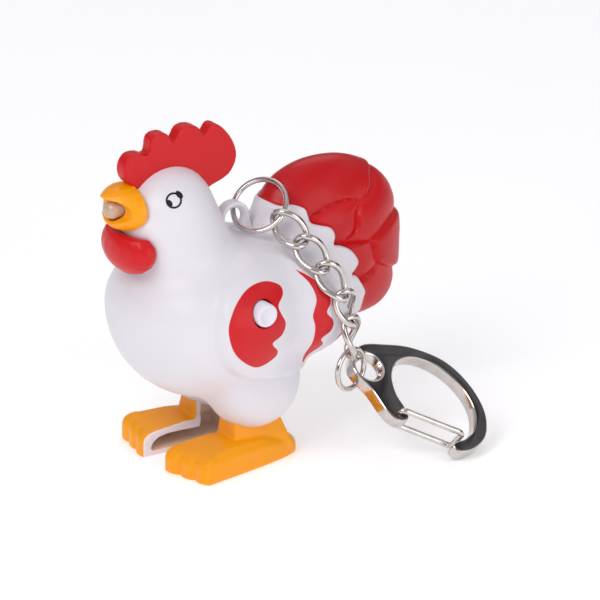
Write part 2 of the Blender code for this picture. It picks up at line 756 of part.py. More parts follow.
def make_button():
    y, z = BUTTON_AT
    face = BUTTON_FACE_X
    profile = (
        (10.2, BUTTON_RADIUS + 0.3), (10.25, BUTTON_RADIUS + 0.5), (10.6, BUTTON_RADIUS + 0.5),
        (10.61, BUTTON_RADIUS), (face - 0.4, BUTTON_RADIUS), (face - 0.12, BUTTON_RADIUS - 0.15),
        (face, BUTTON_RADIUS - 0.5),
    )
    shifted = [(along - face, radius) for along, radius in profile]
    add_object("push_button", turned(shifted, (face, y, z), (1, 0, 0), 24), WHITE_BUTTON, pivot=(face, y, z))


def make_switch():
    y, z = BUTTON_AT
    x = BOARD_X[1] + 0.3
    body = add_object("switch_body", block((x, y - 2.6, z - 2.6), (x + 2.6, y + 2.6, z + 2.6)), BLACK_PLASTIC)
    carve(body, rod(*along_x(y, z), x + 0.9, x + 6.0, 1.5, 20))
    add_object("switch_plunger", rod(*along_x(y, z), x + 1.9, 9.9, 1.2, 20), BLACK_PLASTIC, pivot=(9.9, y, z))


def make_circuit():
    low = (BOARD_X[0], BOARD_Y[0], BOARD_Z[0])
    high = (BOARD_X[1], BOARD_Y[1], BOARD_Z[1])
    add_object("circuit_board", block(low, high), GREEN_BOARD)
    chip = [(BOARD_X[0] - 0.3 - h, r) for h, r in ((0.0, 2.2), (0.5, 2.0), (0.9, 1.3), (1.05, 0.5))]
    add_object("sound_chip", turned(chip[::-1], (0.0, 1.6, 28.6), (1, 0, 0), 18), BLACK_PLASTIC)


def make_speaker():
    y, z = SPEAKER_AT
    profile = ((-9.9, 2.2), (-9.3, SPEAKER_RADIUS), (-8.2, SPEAKER_RADIUS), (-8.0, 3.4), (-6.9, 3.4))
    add_object("speaker", turned(profile, *along_x(y, z), 28), STEEL)


def make_cells():
    y, z = CELL_AXIS
    pitch = CELL_THICK + 0.3
    for number in (-1, 0, 1):
        start = number * pitch - CELL_THICK / 2
        rim = CELL_RADIUS
        steps = ((0.0, rim - 0.3), (0.25, rim), (3.0, rim), (3.1, rim - 0.6), (CELL_THICK, rim - 0.7))
        profile = [(start + along, radius) for along, radius in steps]
        add_object(f"button_cell_{number + 2}", turned(profile, *along_x(y, z), 20), STEEL)
    reach = 1.5 * CELL_THICK + 0.6
    for side, name in ((1, "battery_contact_plus"), (-1, "battery_contact_minus")):
        low_x, high_x = sorted((side * (reach + 0.05), side * (reach + 0.4)))
        add_object(name, block((low_x, y - 2.4, z - 3.0), (high_x, y + 2.4, z + 3.4)), BRASS)
    tray_reach = reach + 0.6
    outside = block((-tray_reach - 0.4, y - 4.5, z - 4.6), (tray_reach + 0.4, y + 4.5, z - 0.5))
    tray = add_object("battery_tray", outside, BLACK_PLASTIC)
    carve(tray, rod(*along_x(y, z), -tray_reach, tray_reach, CELL_RADIUS + 0.3, 28))


def make_wires():
    """Insulated wires from the lamp's leads and from the speaker to the board."""
    z = LAMP_AXIS_Z
    for number, x in enumerate((-0.8, 0.8)):
        route = [(x, -11.8, z), (x * 1.4, -10.4, z - 0.6), (x * 2.0, -6.0, 40.4)]
        route += [(x * 2.2 + 0.6, -4.4, 37.0), (x + 3.0, -4.0, 34.2), (x * 0.8 + 3.0, -4.0, 32.6)]
        add_object(f"lamp_wire_{number + 1}", tube(route, 0.35, 6), RED_WIRE)
    for number, y in enumerate((-2.4, -0.4)):
        route = ((-6.4, y, 27.2), (-3.6, y, 28.6), (-0.4, y, 30.2), (2.4, y - 0.4, 30.8), (4.2, y - 0.6, 30.8))
        add_object(f"speaker_wire_{number + 1}", tube(route, 0.35, 6), RED_WIRE)


def make_screws():
    for name, (y, z) in SCREW_PLACES.items():
        profile = [(-5.7, SCREW_HEAD_RADIUS - 0.3), (-5.4, SCREW_HEAD_RADIUS), (-4.3, SCREW_HEAD_RADIUS)]
        profile += [(-4.29, SCREW_RADIUS), (4.2, SCREW_RADIUS), (4.8, 0.3)]
        screw = add_object(name, turned(profile, *along_x(y, z), 16), STEEL)
        for half_y, half_z in ((0.25, 1.0), (1.0, 0.25)):
            carve(screw, block((-6.5, y - half_y, z - half_z), (-5.0, y + half_y, z + half_z)))


# ---- chain and clip ----


def unit(vector):
    vector = np.asarray(vector, dtype=float)
    return vector / np.linalg.norm(vector)


def link_path(start, heading, turn, steps=16):
    """Centre line of a curb link: an oval twisted about its length."""
    length = (LINK_LENGTH - LINK_WIRE) / 2
    width = (LINK_WIDTH - LINK_WIRE) / 2
    facing = math.cos(turn) * np.array((0.78, -0.51, 0.37)) + math.sin(turn) * np.array((0.545, 0.839, 0.0))
    side = unit(np.cross(facing, heading))
    up = np.cross(heading, side)
    centre = start + heading * LINK_PITCH / 2
    path = []
    for step in range(steps):
        angle = math.tau * step / steps
        along = length * math.cos(angle)
        across = width * math.copysign(abs(math.sin(angle)) ** 0.85, math.sin(angle))
        twist = LINK_TWIST * along / length
        path.append(centre + along * heading + across * (math.cos(twist) * side + math.sin(twist) * up))
    return path


def circle(centre, radius, first, second, count):
    turns = math.tau * np.arange(count) / count
    return [np.asarray(centre) + radius * (math.cos(t) * first + math.sin(t) * second) for t in turns]


def make_lug_ring():
    """Returns the point where the first link turns on the ring."""
    normal = unit(LUG_RING_NORMAL)
    first = unit(np.cross(normal, (0, 0, 1)))
    ring = circle(LUG_RING_CENTRE, LUG_RING_RADIUS, first, np.cross(normal, first), 24)
    pivot = (0.0, *LUG_AT)
    add_object("lug_ring", tube(ring, RING_WIRE / 2, 6, closed=True), CHROME, pivot=pivot)
    spoke = np.array(LUG_RING_HOLD) - LUG_RING_CENTRE
    return LUG_RING_CENTRE + LUG_RING_RADIUS * unit(spoke - normal * (spoke @ normal))


def hang_offset():
    """From a joint to the wire of a ring that the joint's link carries."""
    return RING_WIRE / 2 + LINK_WIRE / 2 + TOUCH_GAP - (LINK_LENGTH - LINK_WIRE - LINK_PITCH) / 2


def make_chain():
    """Returns the joint below the last link."""
    headings = [unit(heading) for heading in LINK_HEADINGS]
    joint = make_lug_ring() - headings[0] * hang_offset()
    for number, (heading, turn) in enumerate(zip(headings, LINK_TURNS), 1):
        path = link_path(joint, heading, math.radians(turn))
        add_object(f"chain_link_{number}", tube(path, LINK_WIRE / 2, 6, closed=True), CHROME, pivot=joint)
        joint = joint + heading * LINK_PITCH
    return joint


def make_clip_ring(joint):
    """Returns the middle of the clip's eye, which hangs on the ring by its upper edge."""
    across, up = np.array(CLIP_RING_ACROSS), np.array((0.0, 0.0, 1.0))
    top = joint + up * hang_offset()
    centre = top - up * CLIP_RING_RADIUS
    ring = circle(centre, CLIP_RING_RADIUS, across, up, 24)
    add_object("clip_ring", tube(ring, RING_WIRE / 2, 6, closed=True), CHROME, pivot=joint)
    wire = centre + CLIP_RING_RADIUS * (math.cos(CLIP_RING_DIP) * across + math.sin(CLIP_RING_DIP) * up)
    return wire + EYE_SLACK * unit(CLIP_ALONG)


# Clip outline in its own plane: along from the eye to the nose, and across.
CLIP_OUTLINE = (
    (-3.3, 0.2), (-2.8, 2.9), (-0.6, 5.6), (3.0, 9.0), (8.0, 11.4), (13.0, 11.3), (17.6, 9.2), (20.2, 5.6),
    (20.3, 1.8),
    (18.9, -0.9), (17.5, -1.0), (17.4, 0.2), (18.2, 1.9), (18.2, 4.8), (16.2, 7.9), (12.6, 9.6), (8.4, 9.6),
    (4.6, 7.8),
    (2.9, 5.0), (3.4, 2.0), (5.6, -0.4), (8.2, -1.6), (9.6, -2.8), (8.8, -4.4), (6.4, -4.6),
    (2.6, -3.25), (-1.6, -2.5),
)
GATE_PIVOT = (8.0, -3.1)
GATE_END = (17.3, 1.5)


def clip_frame(eye):
    """Turns (along, across, height) in the clip's plane into the toy's frame."""
    normal = unit(CLIP_NORMAL)
    along = unit(CLIP_ALONG)
    along = unit(along - normal * (along @ normal))
    across = np.cross(normal, along)
    return lambda a, b, h: eye + a * along + b * across + h * normal, normal


def make_clip(eye):
    place, normal = clip_frame(eye)
    half = CLIP_THICK / 2
    outline = smooth_outline(CLIP_OUTLINE, 2)
    clip = add_object("clip_body", prism(outline, -half, half, place), CHROME, pivot=eye)
    wide = CLIP_EYE_RADIUS + 1.1
    eye_hole = ((-half - 0.8, wide), (-0.3, CLIP_EYE_RADIUS), (0.3, CLIP_EYE_RADIUS), (half + 0.8, wide))
    pivot = place(*GATE_PIVOT, 0.0)
    carve(clip, turned(eye_hole, eye, normal, 20), rod(pivot, normal, -4.0, 4.0, GATE_WIRE / 2 + 0.15, 12))
    make_gate(place, pivot, half + 0.3 + GATE_WIRE / 2)


def make_gate(place, pivot, arm_height):
    """A U of spring wire: two arms outside the clip, turned in at the pivot and joined past the nose."""
    start, end = np.array(GATE_PIVOT), np.array(GATE_END)
    arms = []
    for sign in (1, -1):
        arm = [(*start, sign * 0.5), (*start, sign * (arm_height - 0.4))]
        arm.append((start[0] + 0.4, start[1] + 0.2, sign * arm_height))
        arm += [(*(start + share * (end - start)), sign * arm_height) for share in (0.15, 0.4, 0.7, 0.93)]
        arms.append(arm)
    route = arms[0] + [(*end, arm_height - 0.5), (*end, 0.0), (*end, 0.5 - arm_height)] + arms[1][::-1]
    add_object("wire_gate", tube([place(*spot) for spot in route], GATE_WIRE / 2, 8), CHROME, pivot=pivot)


remove_everything()
TOY = add_empty("toy", (-FRAME_CENTRE[0], -FRAME_CENTRE[1], 0.0))
WHITE_ABS = material("white_abs", (0.80, 0.79, 0.82), 0.35)
RED_PLASTIC = material("red_plastic", (0.62, 0.025, 0.03), 0.35)
YELLOW_PLASTIC = material("yellow_plastic", (0.88, 0.38, 0.015), 0.35)
WHITE_BUTTON = material("white_button", (0.80, 0.76, 0.80), 0.3)
CLEAR_EPOXY = material("clear_epoxy", (0.80, 0.72, 0.58), 0.05)
CHROME = material("chrome", (0.72, 0.70, 0.68), 0.12, 1.0)
STEEL = material("steel", (0.55, 0.55, 0.56), 0.3, 1.0)
BRASS = material("brass", (0.70, 0.50, 0.20), 0.3, 1.0)
TINNED_WIRE = material("tinned_wire", (0.62, 0.62, 0.60), 0.3, 1.0)
GREEN_BOARD = material("green_board", (0.02, 0.18, 0.06), 0.4)
BLACK_PLASTIC = material("black_plastic", (0.02, 0.02, 0.02), 0.4)
RED_WIRE = material("red_wire", (0.55, 0.02, 0.02), 0.45)

make_shells()
make_comb()
make_beak()
make_wattle()
make_tail()
make_feet()
make_lamp()
make_button()
make_switch()
make_circuit()
make_speaker()
make_cells()
make_wires()
make_screws()
make_clip(make_clip_ring(make_chain()))
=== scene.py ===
"""Looks for the rooster key-ring light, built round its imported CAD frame.

Points are worked out in the toy's own frame, in millimetres: X across from the parting plane, Y back
from the breast, Z up from the ground. `to_row` turns them into the row's metres.
"""

import json
import math

import bpy
import numpy as np
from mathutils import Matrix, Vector


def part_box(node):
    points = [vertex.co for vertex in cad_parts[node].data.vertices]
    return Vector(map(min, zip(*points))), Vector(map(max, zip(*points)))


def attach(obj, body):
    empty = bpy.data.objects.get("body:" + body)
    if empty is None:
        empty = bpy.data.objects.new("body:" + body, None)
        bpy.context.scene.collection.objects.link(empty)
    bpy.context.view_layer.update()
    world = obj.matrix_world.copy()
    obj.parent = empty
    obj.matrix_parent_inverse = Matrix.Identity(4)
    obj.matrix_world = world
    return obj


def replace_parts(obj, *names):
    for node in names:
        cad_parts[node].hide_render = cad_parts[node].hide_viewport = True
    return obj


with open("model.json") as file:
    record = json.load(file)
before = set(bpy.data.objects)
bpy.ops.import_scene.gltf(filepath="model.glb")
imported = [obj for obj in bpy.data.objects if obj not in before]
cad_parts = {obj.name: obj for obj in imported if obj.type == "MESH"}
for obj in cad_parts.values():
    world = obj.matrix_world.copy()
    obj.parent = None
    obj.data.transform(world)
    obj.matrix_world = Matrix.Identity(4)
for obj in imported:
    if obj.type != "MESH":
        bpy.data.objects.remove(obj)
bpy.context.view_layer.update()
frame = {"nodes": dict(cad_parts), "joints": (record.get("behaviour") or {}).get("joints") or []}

MM = 0.001
LAMP_TIP_Y = -20.9
lamp_low, lamp_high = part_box("led_lamp")
ORIGIN = np.array(((lamp_low[0] + lamp_high[0]) / 2 / MM, lamp_low[1] / MM - LAMP_TIP_Y, 0.0))
JOINTS = {joint["name"]: joint for joint in frame["joints"]}
NODES = frame["nodes"]


def to_row(points):
    return (np.asarray(points, dtype=float) + ORIGIN) * MM


def joint_at(name):
    return np.array(JOINTS[name]["pos_m"]) / MM - ORIGIN


def box_middle(node):
    low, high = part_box(node)
    return (np.array(low) + np.array(high)) / 2 / MM - ORIGIN


def unit(vector):
    vector = np.asarray(vector, dtype=float)
    return vector / np.linalg.norm(vector)


# ---- body form, the same blended rounds as the CAD ----

BODY_CENTRE = (0.0, 1.0, 25.5)
CHEST = ((0.0, -3.5, 24.8), 14.65)
CHEST_TOP_RISE = 10.7
HEAD = ((0.0, -10.0, 40.5), 7.6)
HIND = ((0.0, 8.0, 24.3), (11.6, 12.5, 10.6))
RUMP = ((0.0, 9.0, 27.6), 7.4, (0.0, 14.5, 32.5), 5.6)
THIGH = ((5.6, 2.0, 12.6), (6.2, 7.6, 7.4))
BLEND = 2.4
SEAM = 0.008
SKIN = 1.2
WING_OUTLINE = (
    (-9.2, 25.0), (-7.6, 30.6), (-2.5, 33.6), (2.6, 34.0), (6.6, 32.6), (9.6, 29.4), (13.0, 26.6),
    (15.4, 23.6), (17.4, 20.4), (16.6, 18.2), (12.0, 16.2), (6.4, 14.8), (-2.0, 15.8), (-7.2, 19.0),
)
WING_HEIGHT = 1.6
WING_EDGE = 0.95
WING_TIP_RISE = 0.14
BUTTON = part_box("push_button")
BUTTON_FACE_X = BUTTON[1][0] / MM - ORIGIN[0]
BUTTON_AT = tuple(box_middle("push_button")[1:])
BUTTON_RADIUS = 1.85

# Paint on each wing, as (Y, Z) corners of smooth outlines.
WING_PAINT = (
    (
        (-8.5, 25.6), (-7.2, 21.7), (-3.4, 18.8), (-0.1, 19.5), (0.5, 20.6), (-0.9, 22.4), (1.0, 23.3),
        (1.8, 24.9), (0.9, 26.8), (0.7, 28.0), (2.3, 29.1), (2.3, 30.2), (0.1, 31.3), (-2.7, 31.4),
        (-5.2, 30.5), (-7.4, 28.5),
    ),
    (
        (6.4, 31.2), (9.0, 29.4), (10.8, 27.0), (10.9, 25.6), (10.2, 24.4), (11.5, 22.7), (11.4, 21.0),
        (9.9, 19.8), (10.6, 18.2), (7.4, 15.9), (8.2, 18.2), (8.4, 20.0), (8.2, 22.5), (7.7, 24.5),
        (8.5, 26.8), (7.9, 29.2),
    ),
    ((14.6, 22.6), (15.9, 21.2), (16.6, 19.6), (15.9, 18.3), (13.0, 17.0), (13.9, 18.8), (14.2, 20.4)),
)


def smooth_outline(corners, steps=8):
    corners = np.asarray(corners, dtype=float)
    result = []
    for index in range(len(corners)):
        a, b, c, d = (corners[(index + shift) % len(corners)] for shift in (-1, 0, 1, 2))
        for step in range(steps):
            t = step / steps
            curve = 2 * b + (c - a) * t + (2 * a - 5 * b + 4 * c - d) * t**2 + (3 * b - a - 3 * c + d) * t**3
            result.append(0.5 * curve)
    return np.array(result)


def line_distance(y, z, line, closed=False):
    """Distance in the side view to a line through the given corners."""
    start = np.asarray(line, dtype=float)
    end = np.roll(start, -1, 0)
    if not closed:
        start, end = start[:-1], end[:-1]
    spot = np.stack([y, z], -1)[..., None, :]
    along = np.clip(((spot - start) * (end - start)).sum(-1) / ((end - start) ** 2).sum(-1), 0, 1)
    return np.linalg.norm(spot - start - along[..., None] * (end - start), axis=-1).min(-1)


def line_side(y, z, line):
    """Distance in the side view to an open line, and which side of it a point lies on."""
    line = np.asarray(line, dtype=float)
    spot = np.stack([y, z], -1)
    nearest = np.linalg.norm(spot[:, None, :] - line, axis=-1).argmin(-1)
    ahead = np.gradient(line, axis=0)[nearest]
    gap = spot - line[nearest]
    return line_distance(y, z, line), ahead[:, 1] * gap[:, 0] - ahead[:, 0] * gap[:, 1]


def outline_distance(y, z, outline):
    """Signed distance in the side view to a closed outline, negative inside."""
    start = np.asarray(outline)
    end = np.roll(start, -1, 0)
    spot_y, spot_z = np.asarray(y)[..., None], np.asarray(z)[..., None]
    above = (start[:, 1] > spot_z) != (end[:, 1] > spot_z)
    rise = end[:, 1] - start[:, 1]
    crossing = start[:, 0] + (spot_z - start[:, 1]) * (end[:, 0] - start[:, 0]) / np.where(rise == 0, 1, rise)
    inside = (above & (spot_y < crossing)).sum(-1) % 2 == 1
    distance = line_distance(y, z, outline, closed=True)
    return np.where(inside, -distance, distance)


def ellipsoid_field(points, centre, radii):
    scaled = (points - centre) / radii
    length = np.linalg.norm(scaled, axis=-1)
    return length * (length - 1.0) / (np.linalg.norm(scaled / radii, axis=-1) + 1e-9)


def capsule_field(points, start, start_radius, end, end_radius):
    start, end = np.asarray(start), np.asarray(end)
    along = np.clip(((points - start) @ (end - start)) / ((end - start) @ (end - start)), 0.0, 1.0)
    nearest = start + along[..., None] * (end - start)
    return np.linalg.norm(points - nearest, axis=-1) - (start_radius + along * (end_radius - start_radius))


def blended(first, second, reach):
    mix = np.clip(0.5 + 0.5 * (second - first) / reach, 0.0, 1.0)
    return second * (1 - mix) + first * mix - reach * mix * (1 - mix)


def body_field(points):
    points = np.array(points, dtype=float)
    points[..., 0] = np.abs(points[..., 0])
    chest_points = points - CHEST[0]
    squash = np.where(chest_points[..., 2] > 0, CHEST[1] / CHEST_TOP_RISE, 1.0)
    chest_points[..., 2] *= squash
    field = (np.linalg.norm(chest_points, axis=-1) - CHEST[1]) / np.sqrt(squash)
    neck = capsule_field(points, HEAD[0], HEAD[1], CHEST[0], CHEST_TOP_RISE - 2.4)
    field = blended(field, neck, BLEND)
    field = blended(field, ellipsoid_field(points, *HIND), BLEND)
    field = blended(field, capsule_field(points, *RUMP), BLEND)
    return blended(field, ellipsoid_field(points, *THIGH), BLEND)


def cast_out(field, centre, directions, level=0.0, reach=42.0, samples=84):
    """The furthest point along each direction at which the field is still below the level."""
    steps = np.linspace(0.0, reach, samples)
    inside = field(centre + directions[..., None, :] * steps[:, None]) < level
    last = samples - 1 - np.argmax(inside[..., ::-1], axis=-1)
    low, high = steps[last], steps[np.minimum(last + 1, samples - 1)]
    for _ in range(20):
        middle = 0.5 * (low + high)
        is_in = field(centre + directions * middle[..., None]) < level
        low, high = np.where(is_in, middle, low), np.where(is_in, high, middle)
    return centre + directions * low[..., None]


def slope(field, points, step=0.05):
    """Unit direction in which the field rises."""
    rise = [field(points + step * axis) - field(points - step * axis) for axis in np.eye(3)]
    rise = np.stack(rise, -1)
    return rise / (np.linalg.norm(rise, axis=-1, keepdims=True) + 1e-9)


def smooth_step(low, high, value):
    share = np.clip((value - low) / (high - low), 0.0, 1.0)
    return share * share * (3 - 2 * share)


def wing_relief(points):
    away = outline_distance(points[..., 1], points[..., 2], smooth_outline(WING_OUTLINE))
    height = WING_HEIGHT + WING_TIP_RISE * np.maximum(points[..., 1] - 5.0, 0.0)
    return height * smooth_step(0.5, -0.5, away / WING_EDGE)


# ---- meshes ----


def grid_faces(rows, columns, start=0, closed=True):
    faces = []
    for row in range(rows - 1):
        for column in range(columns if closed else columns - 1):
            here = start + row * columns + column
            beside = start + row * columns + (column + 1) % columns
            faces.append((here, beside, beside + columns, here + columns))
    return faces


def new_piece(name, points, faces, material, body, slot, smooth_angle=35):
    """A mesh object in the row's frame, riding on a body."""
    mesh = bpy.data.meshes.new(name)
    mesh.from_pydata([tuple(p) for p in to_row(points)], [], faces)
    piece = bpy.data.objects.new(name, mesh)
    bpy.context.collection.objects.link(piece)
    finish_piece(piece, material, body, smooth_angle)
    return piece


def face_out(mesh):
    import bmesh

    work = bmesh.new()
    work.from_mesh(mesh)
    bmesh.ops.recalc_face_normals(work, faces=work.faces)
    work.to_mesh(mesh)
    work.free()


def finish_piece(piece, material, body, smooth_angle=35):
    face_out(piece.data)
    piece.data.materials.clear()
    piece.data.materials.append(material)
    piece.data.shade_smooth()
    if smooth_angle:
        piece.data.set_sharp_from_angle(angle=math.radians(smooth_angle))
    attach(piece, body)


def apply_modifiers(piece):
    graph = bpy.context.evaluated_depsgraph_get()
    graph.update()
    baked = bpy.data.meshes.new_from_object(piece.evaluated_get(graph))
    piece.modifiers.clear()
    piece.data = baked


def set_field(piece, name, values):
    attribute = piece.data.attributes.new(name, "FLOAT", "POINT")
    attribute.data.foreach_set("value", np.asarray(values, dtype=np.float32))


def toy_points(piece):
    """The piece's vertices back in the toy's frame."""
    flat = np.empty(len(piece.data.vertices) * 3)
    piece.data.vertices.foreach_get("co", flat)
    return flat.reshape(-1, 3) / MM - ORIGIN


def soften(piece, voxel, passes):
    """Rounds a solid's edges over, as moulding leaves them."""
    remesh = piece.modifiers.new("even", "REMESH")
    remesh.mode = "VOXEL"
    remesh.voxel_size = voxel * MM
    smooth = piece.modifiers.new("round", "SMOOTH")
    smooth.factor = 0.5
    smooth.iterations = passes
    apply_modifiers(piece)
    piece.data.shade_smooth()


def soft_copy(node, name, voxel, passes, material, body):
    """A CAD node's solid with its edges rounded over, as moulding leaves them."""
    piece = bpy.data.objects.new(name, NODES[node].data.copy())
    bpy.context.collection.objects.link(piece)
    soften(piece, voxel, passes)
    finish_piece(piece, material, body, smooth_angle=None)
    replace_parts(piece, node)
    return piece


def tube(path, radius, sides=16, closed=False):
    path = np.asarray(path, dtype=float)
    count = len(path)
    ahead = np.roll(path, -1, 0) - np.roll(path, 1, 0) if closed else np.gradient(path, axis=0)
    ahead /= np.linalg.norm(ahead, axis=1)[:, None]
    across = np.cross(ahead[0], (0.31, 0.17, 0.93))
    frames = []
    for direction in ahead:
        across = unit(across - direction * (across @ direction))
        frames.append((across, np.cross(direction, across)))
    slip = 0.0
    if closed:
        last = frames[-1][0] - ahead[0] * (frames[-1][0] @ ahead[0])
        slip = math.atan2(last @ frames[0][1], last @ frames[0][0])
    points = []
    for index, (place, (first, second)) in enumerate(zip(path, frames)):
        for side in range(sides):
            angle = math.tau * side / sides - slip * index / count
            points.append(place + radius * (math.cos(angle) * first + math.sin(angle) * second))
    faces = grid_faces(count, sides)
    if closed:
        top = (count - 1) * sides
        faces += [(top + i, top + (i + 1) % sides, (i + 1) % sides, i) for i in range(sides)]
    else:
        faces += [tuple(range(sides)), tuple(range((count - 1) * sides, count * sides))]
    return points, faces


def turned(profile, centre, axis, sides=48):
    """Turns (distance along axis, radius) pairs about an axis."""
    axis = unit(axis)
    first = unit(np.cross(axis, (0.0, 0.0, 1.0) if abs(axis[2]) < 0.9 else (1.0, 0.0, 0.0)))
    second = np.cross(axis, first)
    points = []
    for along, radius in profile:
        for side in range(sides):
            angle = math.tau * side / sides
            spoke = math.cos(angle) * first + math.sin(angle) * second
            points.append(np.asarray(centre) + along * axis + radius * spoke)
    faces = grid_faces(len(profile), sides)
    faces += [tuple(range(sides)), tuple(range((len(profile) - 1) * sides, len(profile) * sides))]
    return points, faces


def cut(piece, *shapes):
    """Takes closed shapes out of a piece."""
    for points, faces in shapes:
        mesh = bpy.data.meshes.new("cutter")
        mesh.from_pydata([tuple(p) for p in to_row(points)], [], faces)
        face_out(mesh)
        cutter = bpy.data.objects.new("cutter", mesh)
        bpy.context.collection.objects.link(cutter)
        modifier = piece.modifiers.new("cut", "BOOLEAN")
        modifier.operation = "DIFFERENCE"
        modifier.solver = "EXACT"
        modifier.object = cutter
        apply_modifiers(piece)
        bpy.data.objects.remove(cutter)


# ---- materials ----


class Nodes:
    """Short calls for building one material's node tree."""

    def __init__(self, name):
        self.material = bpy.data.materials.new(name)
        self.material.use_nodes = True
        self.tree = self.material.node_tree
        self.shader = self.tree.nodes["Principled BSDF"]
        self.place = self.add("ShaderNodeTexCoord").outputs["Object"]

    def add(self, kind, **settings):
        node = self.tree.nodes.new(kind)
        for key, value in settings.items():
            setattr(node, key, value)
        return node

    def put(self, value, socket):
        if isinstance(value, bpy.types.NodeSocket):
            self.tree.links.new(value, socket)
        else:
            socket.default_value = value

    def math(self, operation, first, second=0.0, third=0.0):
        node = self.add("ShaderNodeMath", operation=operation)
        for value, socket in zip((first, second, third), node.inputs):
            self.put(value, socket)
        return node.outputs[0]

    def vector(self, operation, first, second=(0, 0, 0)):
        node = self.add("ShaderNodeVectorMath", operation=operation)
        self.put(first, node.inputs[0])
        self.put(second, node.inputs[1])
        return node.outputs["Value" if operation in ("DOT_PRODUCT", "LENGTH") else "Vector"]

    def noise(self, size, detail=3.0, roughness=0.55, place=None):
        """Noise whose features are about `size` millimetres across."""
        node = self.add("ShaderNodeTexNoise")
        self.put(place or self.place, node.inputs["Vector"])
        node.inputs["Scale"].default_value = 1.0 / (size * MM)
        node.inputs["Detail"].default_value = detail
        node.inputs["Roughness"].default_value = roughness
        return node.outputs["Fac"]

    def spread(self, value, low, high, start=0.0, end=1.0, soft=False):
        node = self.add("ShaderNodeMapRange", interpolation_type="SMOOTHSTEP" if soft else "LINEAR")
        for given, socket in zip((value, start, end, low, high), node.inputs):
            self.put(given, socket)
        return node.outputs[0]

    def mix(self, share, first, second):
        node = self.add("ShaderNodeMix", data_type="RGBA")
        self.put(share, node.inputs["Factor"])
        for value, socket in ((first, node.inputs[6]), (second, node.inputs[7])):
            self.put((*value, 1.0) if isinstance(value, tuple) and len(value) == 3 else value, socket)
        return node.outputs[2]

    def bump(self, height, strength, depth):
        """`depth` is in millimetres."""
        node = self.add("ShaderNodeBump")
        node.inputs["Strength"].default_value = strength
        node.inputs["Distance"].default_value = depth * MM
        self.put(height, node.inputs["Height"])
        self.put(node.outputs[0], self.shader.inputs["Normal"])

    def attribute(self, name):
        return self.add("ShaderNodeAttribute", attribute_name=name).outputs["Fac"]

    def set(self, **inputs):
        for name, value in inputs.items():
            self.put(value, self.shader.inputs[name.replace("_", " ")])


def srgb(red, green, blue):
    """Linear colour of an 8-bit display colour."""
    shares = [c / 255 for c in (red, green, blue)]
    return tuple(c / 12.92 if c <= 10 / 255 else ((c + 0.055) / 1.055) ** 2.4 for c in shares)


WHITE = srgb(226, 222, 228)
RED = srgb(206, 12, 22)
YELLOW = srgb(250, 160, 0)
# Peach stands for yellow light reflected inside the feet's hollows: a painted reflection on white plastic.
REFLECTED_PEACH = srgb(246, 222, 204)
RIM_WHITE = srgb(244, 230, 232)
INK = srgb(16, 15, 18)


def moulded(name, colour, rough=0.34, mottle=0.03, paint=None, scatter=0.0):
    """Satin injection-moulded plastic: faint mottling, orange peel and uneven gloss."""
    nodes = Nodes(name)
    base = paint(nodes) if paint else colour
    clouds = nodes.spread(nodes.noise(7.0), 0.0, mottle * 3, 0.35, 0.75)
    nodes.set(Base_Color=nodes.mix(clouds, base, tuple(c * 0.55 for c in colour)))
    wear = nodes.noise(2.6, detail=5.0)
    nodes.set(Roughness=nodes.spread(wear, rough - 0.05, rough + 0.09, 0.3, 0.7))
    coarse, fine = nodes.noise(0.9, detail=2.0), nodes.noise(0.18, detail=2.0)
    nodes.bump(nodes.math("ADD", coarse, nodes.math("MULTIPLY", fine, 0.18)), 0.22, 0.035)
    nodes.shader.inputs["IOR"].default_value = 1.5
    nodes.shader.inputs["Specular IOR Level"].default_value = 0.3
    nodes.shader.inputs["Coat Weight"].default_value = 0.04
    nodes.shader.inputs["Coat Roughness"].default_value = 0.12
    if scatter:
        nodes.shader.inputs["Subsurface Weight"].default_value = scatter
        nodes.shader.inputs["Subsurface Radius"].default_value = (1.0, 0.9, 0.8)
        nodes.shader.inputs["Subsurface Scale"].default_value = 0.6 * MM
    return nodes.material


EYE_AT = (5.9, -12.2, 44.7)
EYE_ACROSS = (0.545, 0.839, 0.0)
EYE_UP = (-0.307, 0.200, 0.930)
EYE_RING = 1.08
EYE_LINE = 0.16
PAINT_EDGE = 0.07


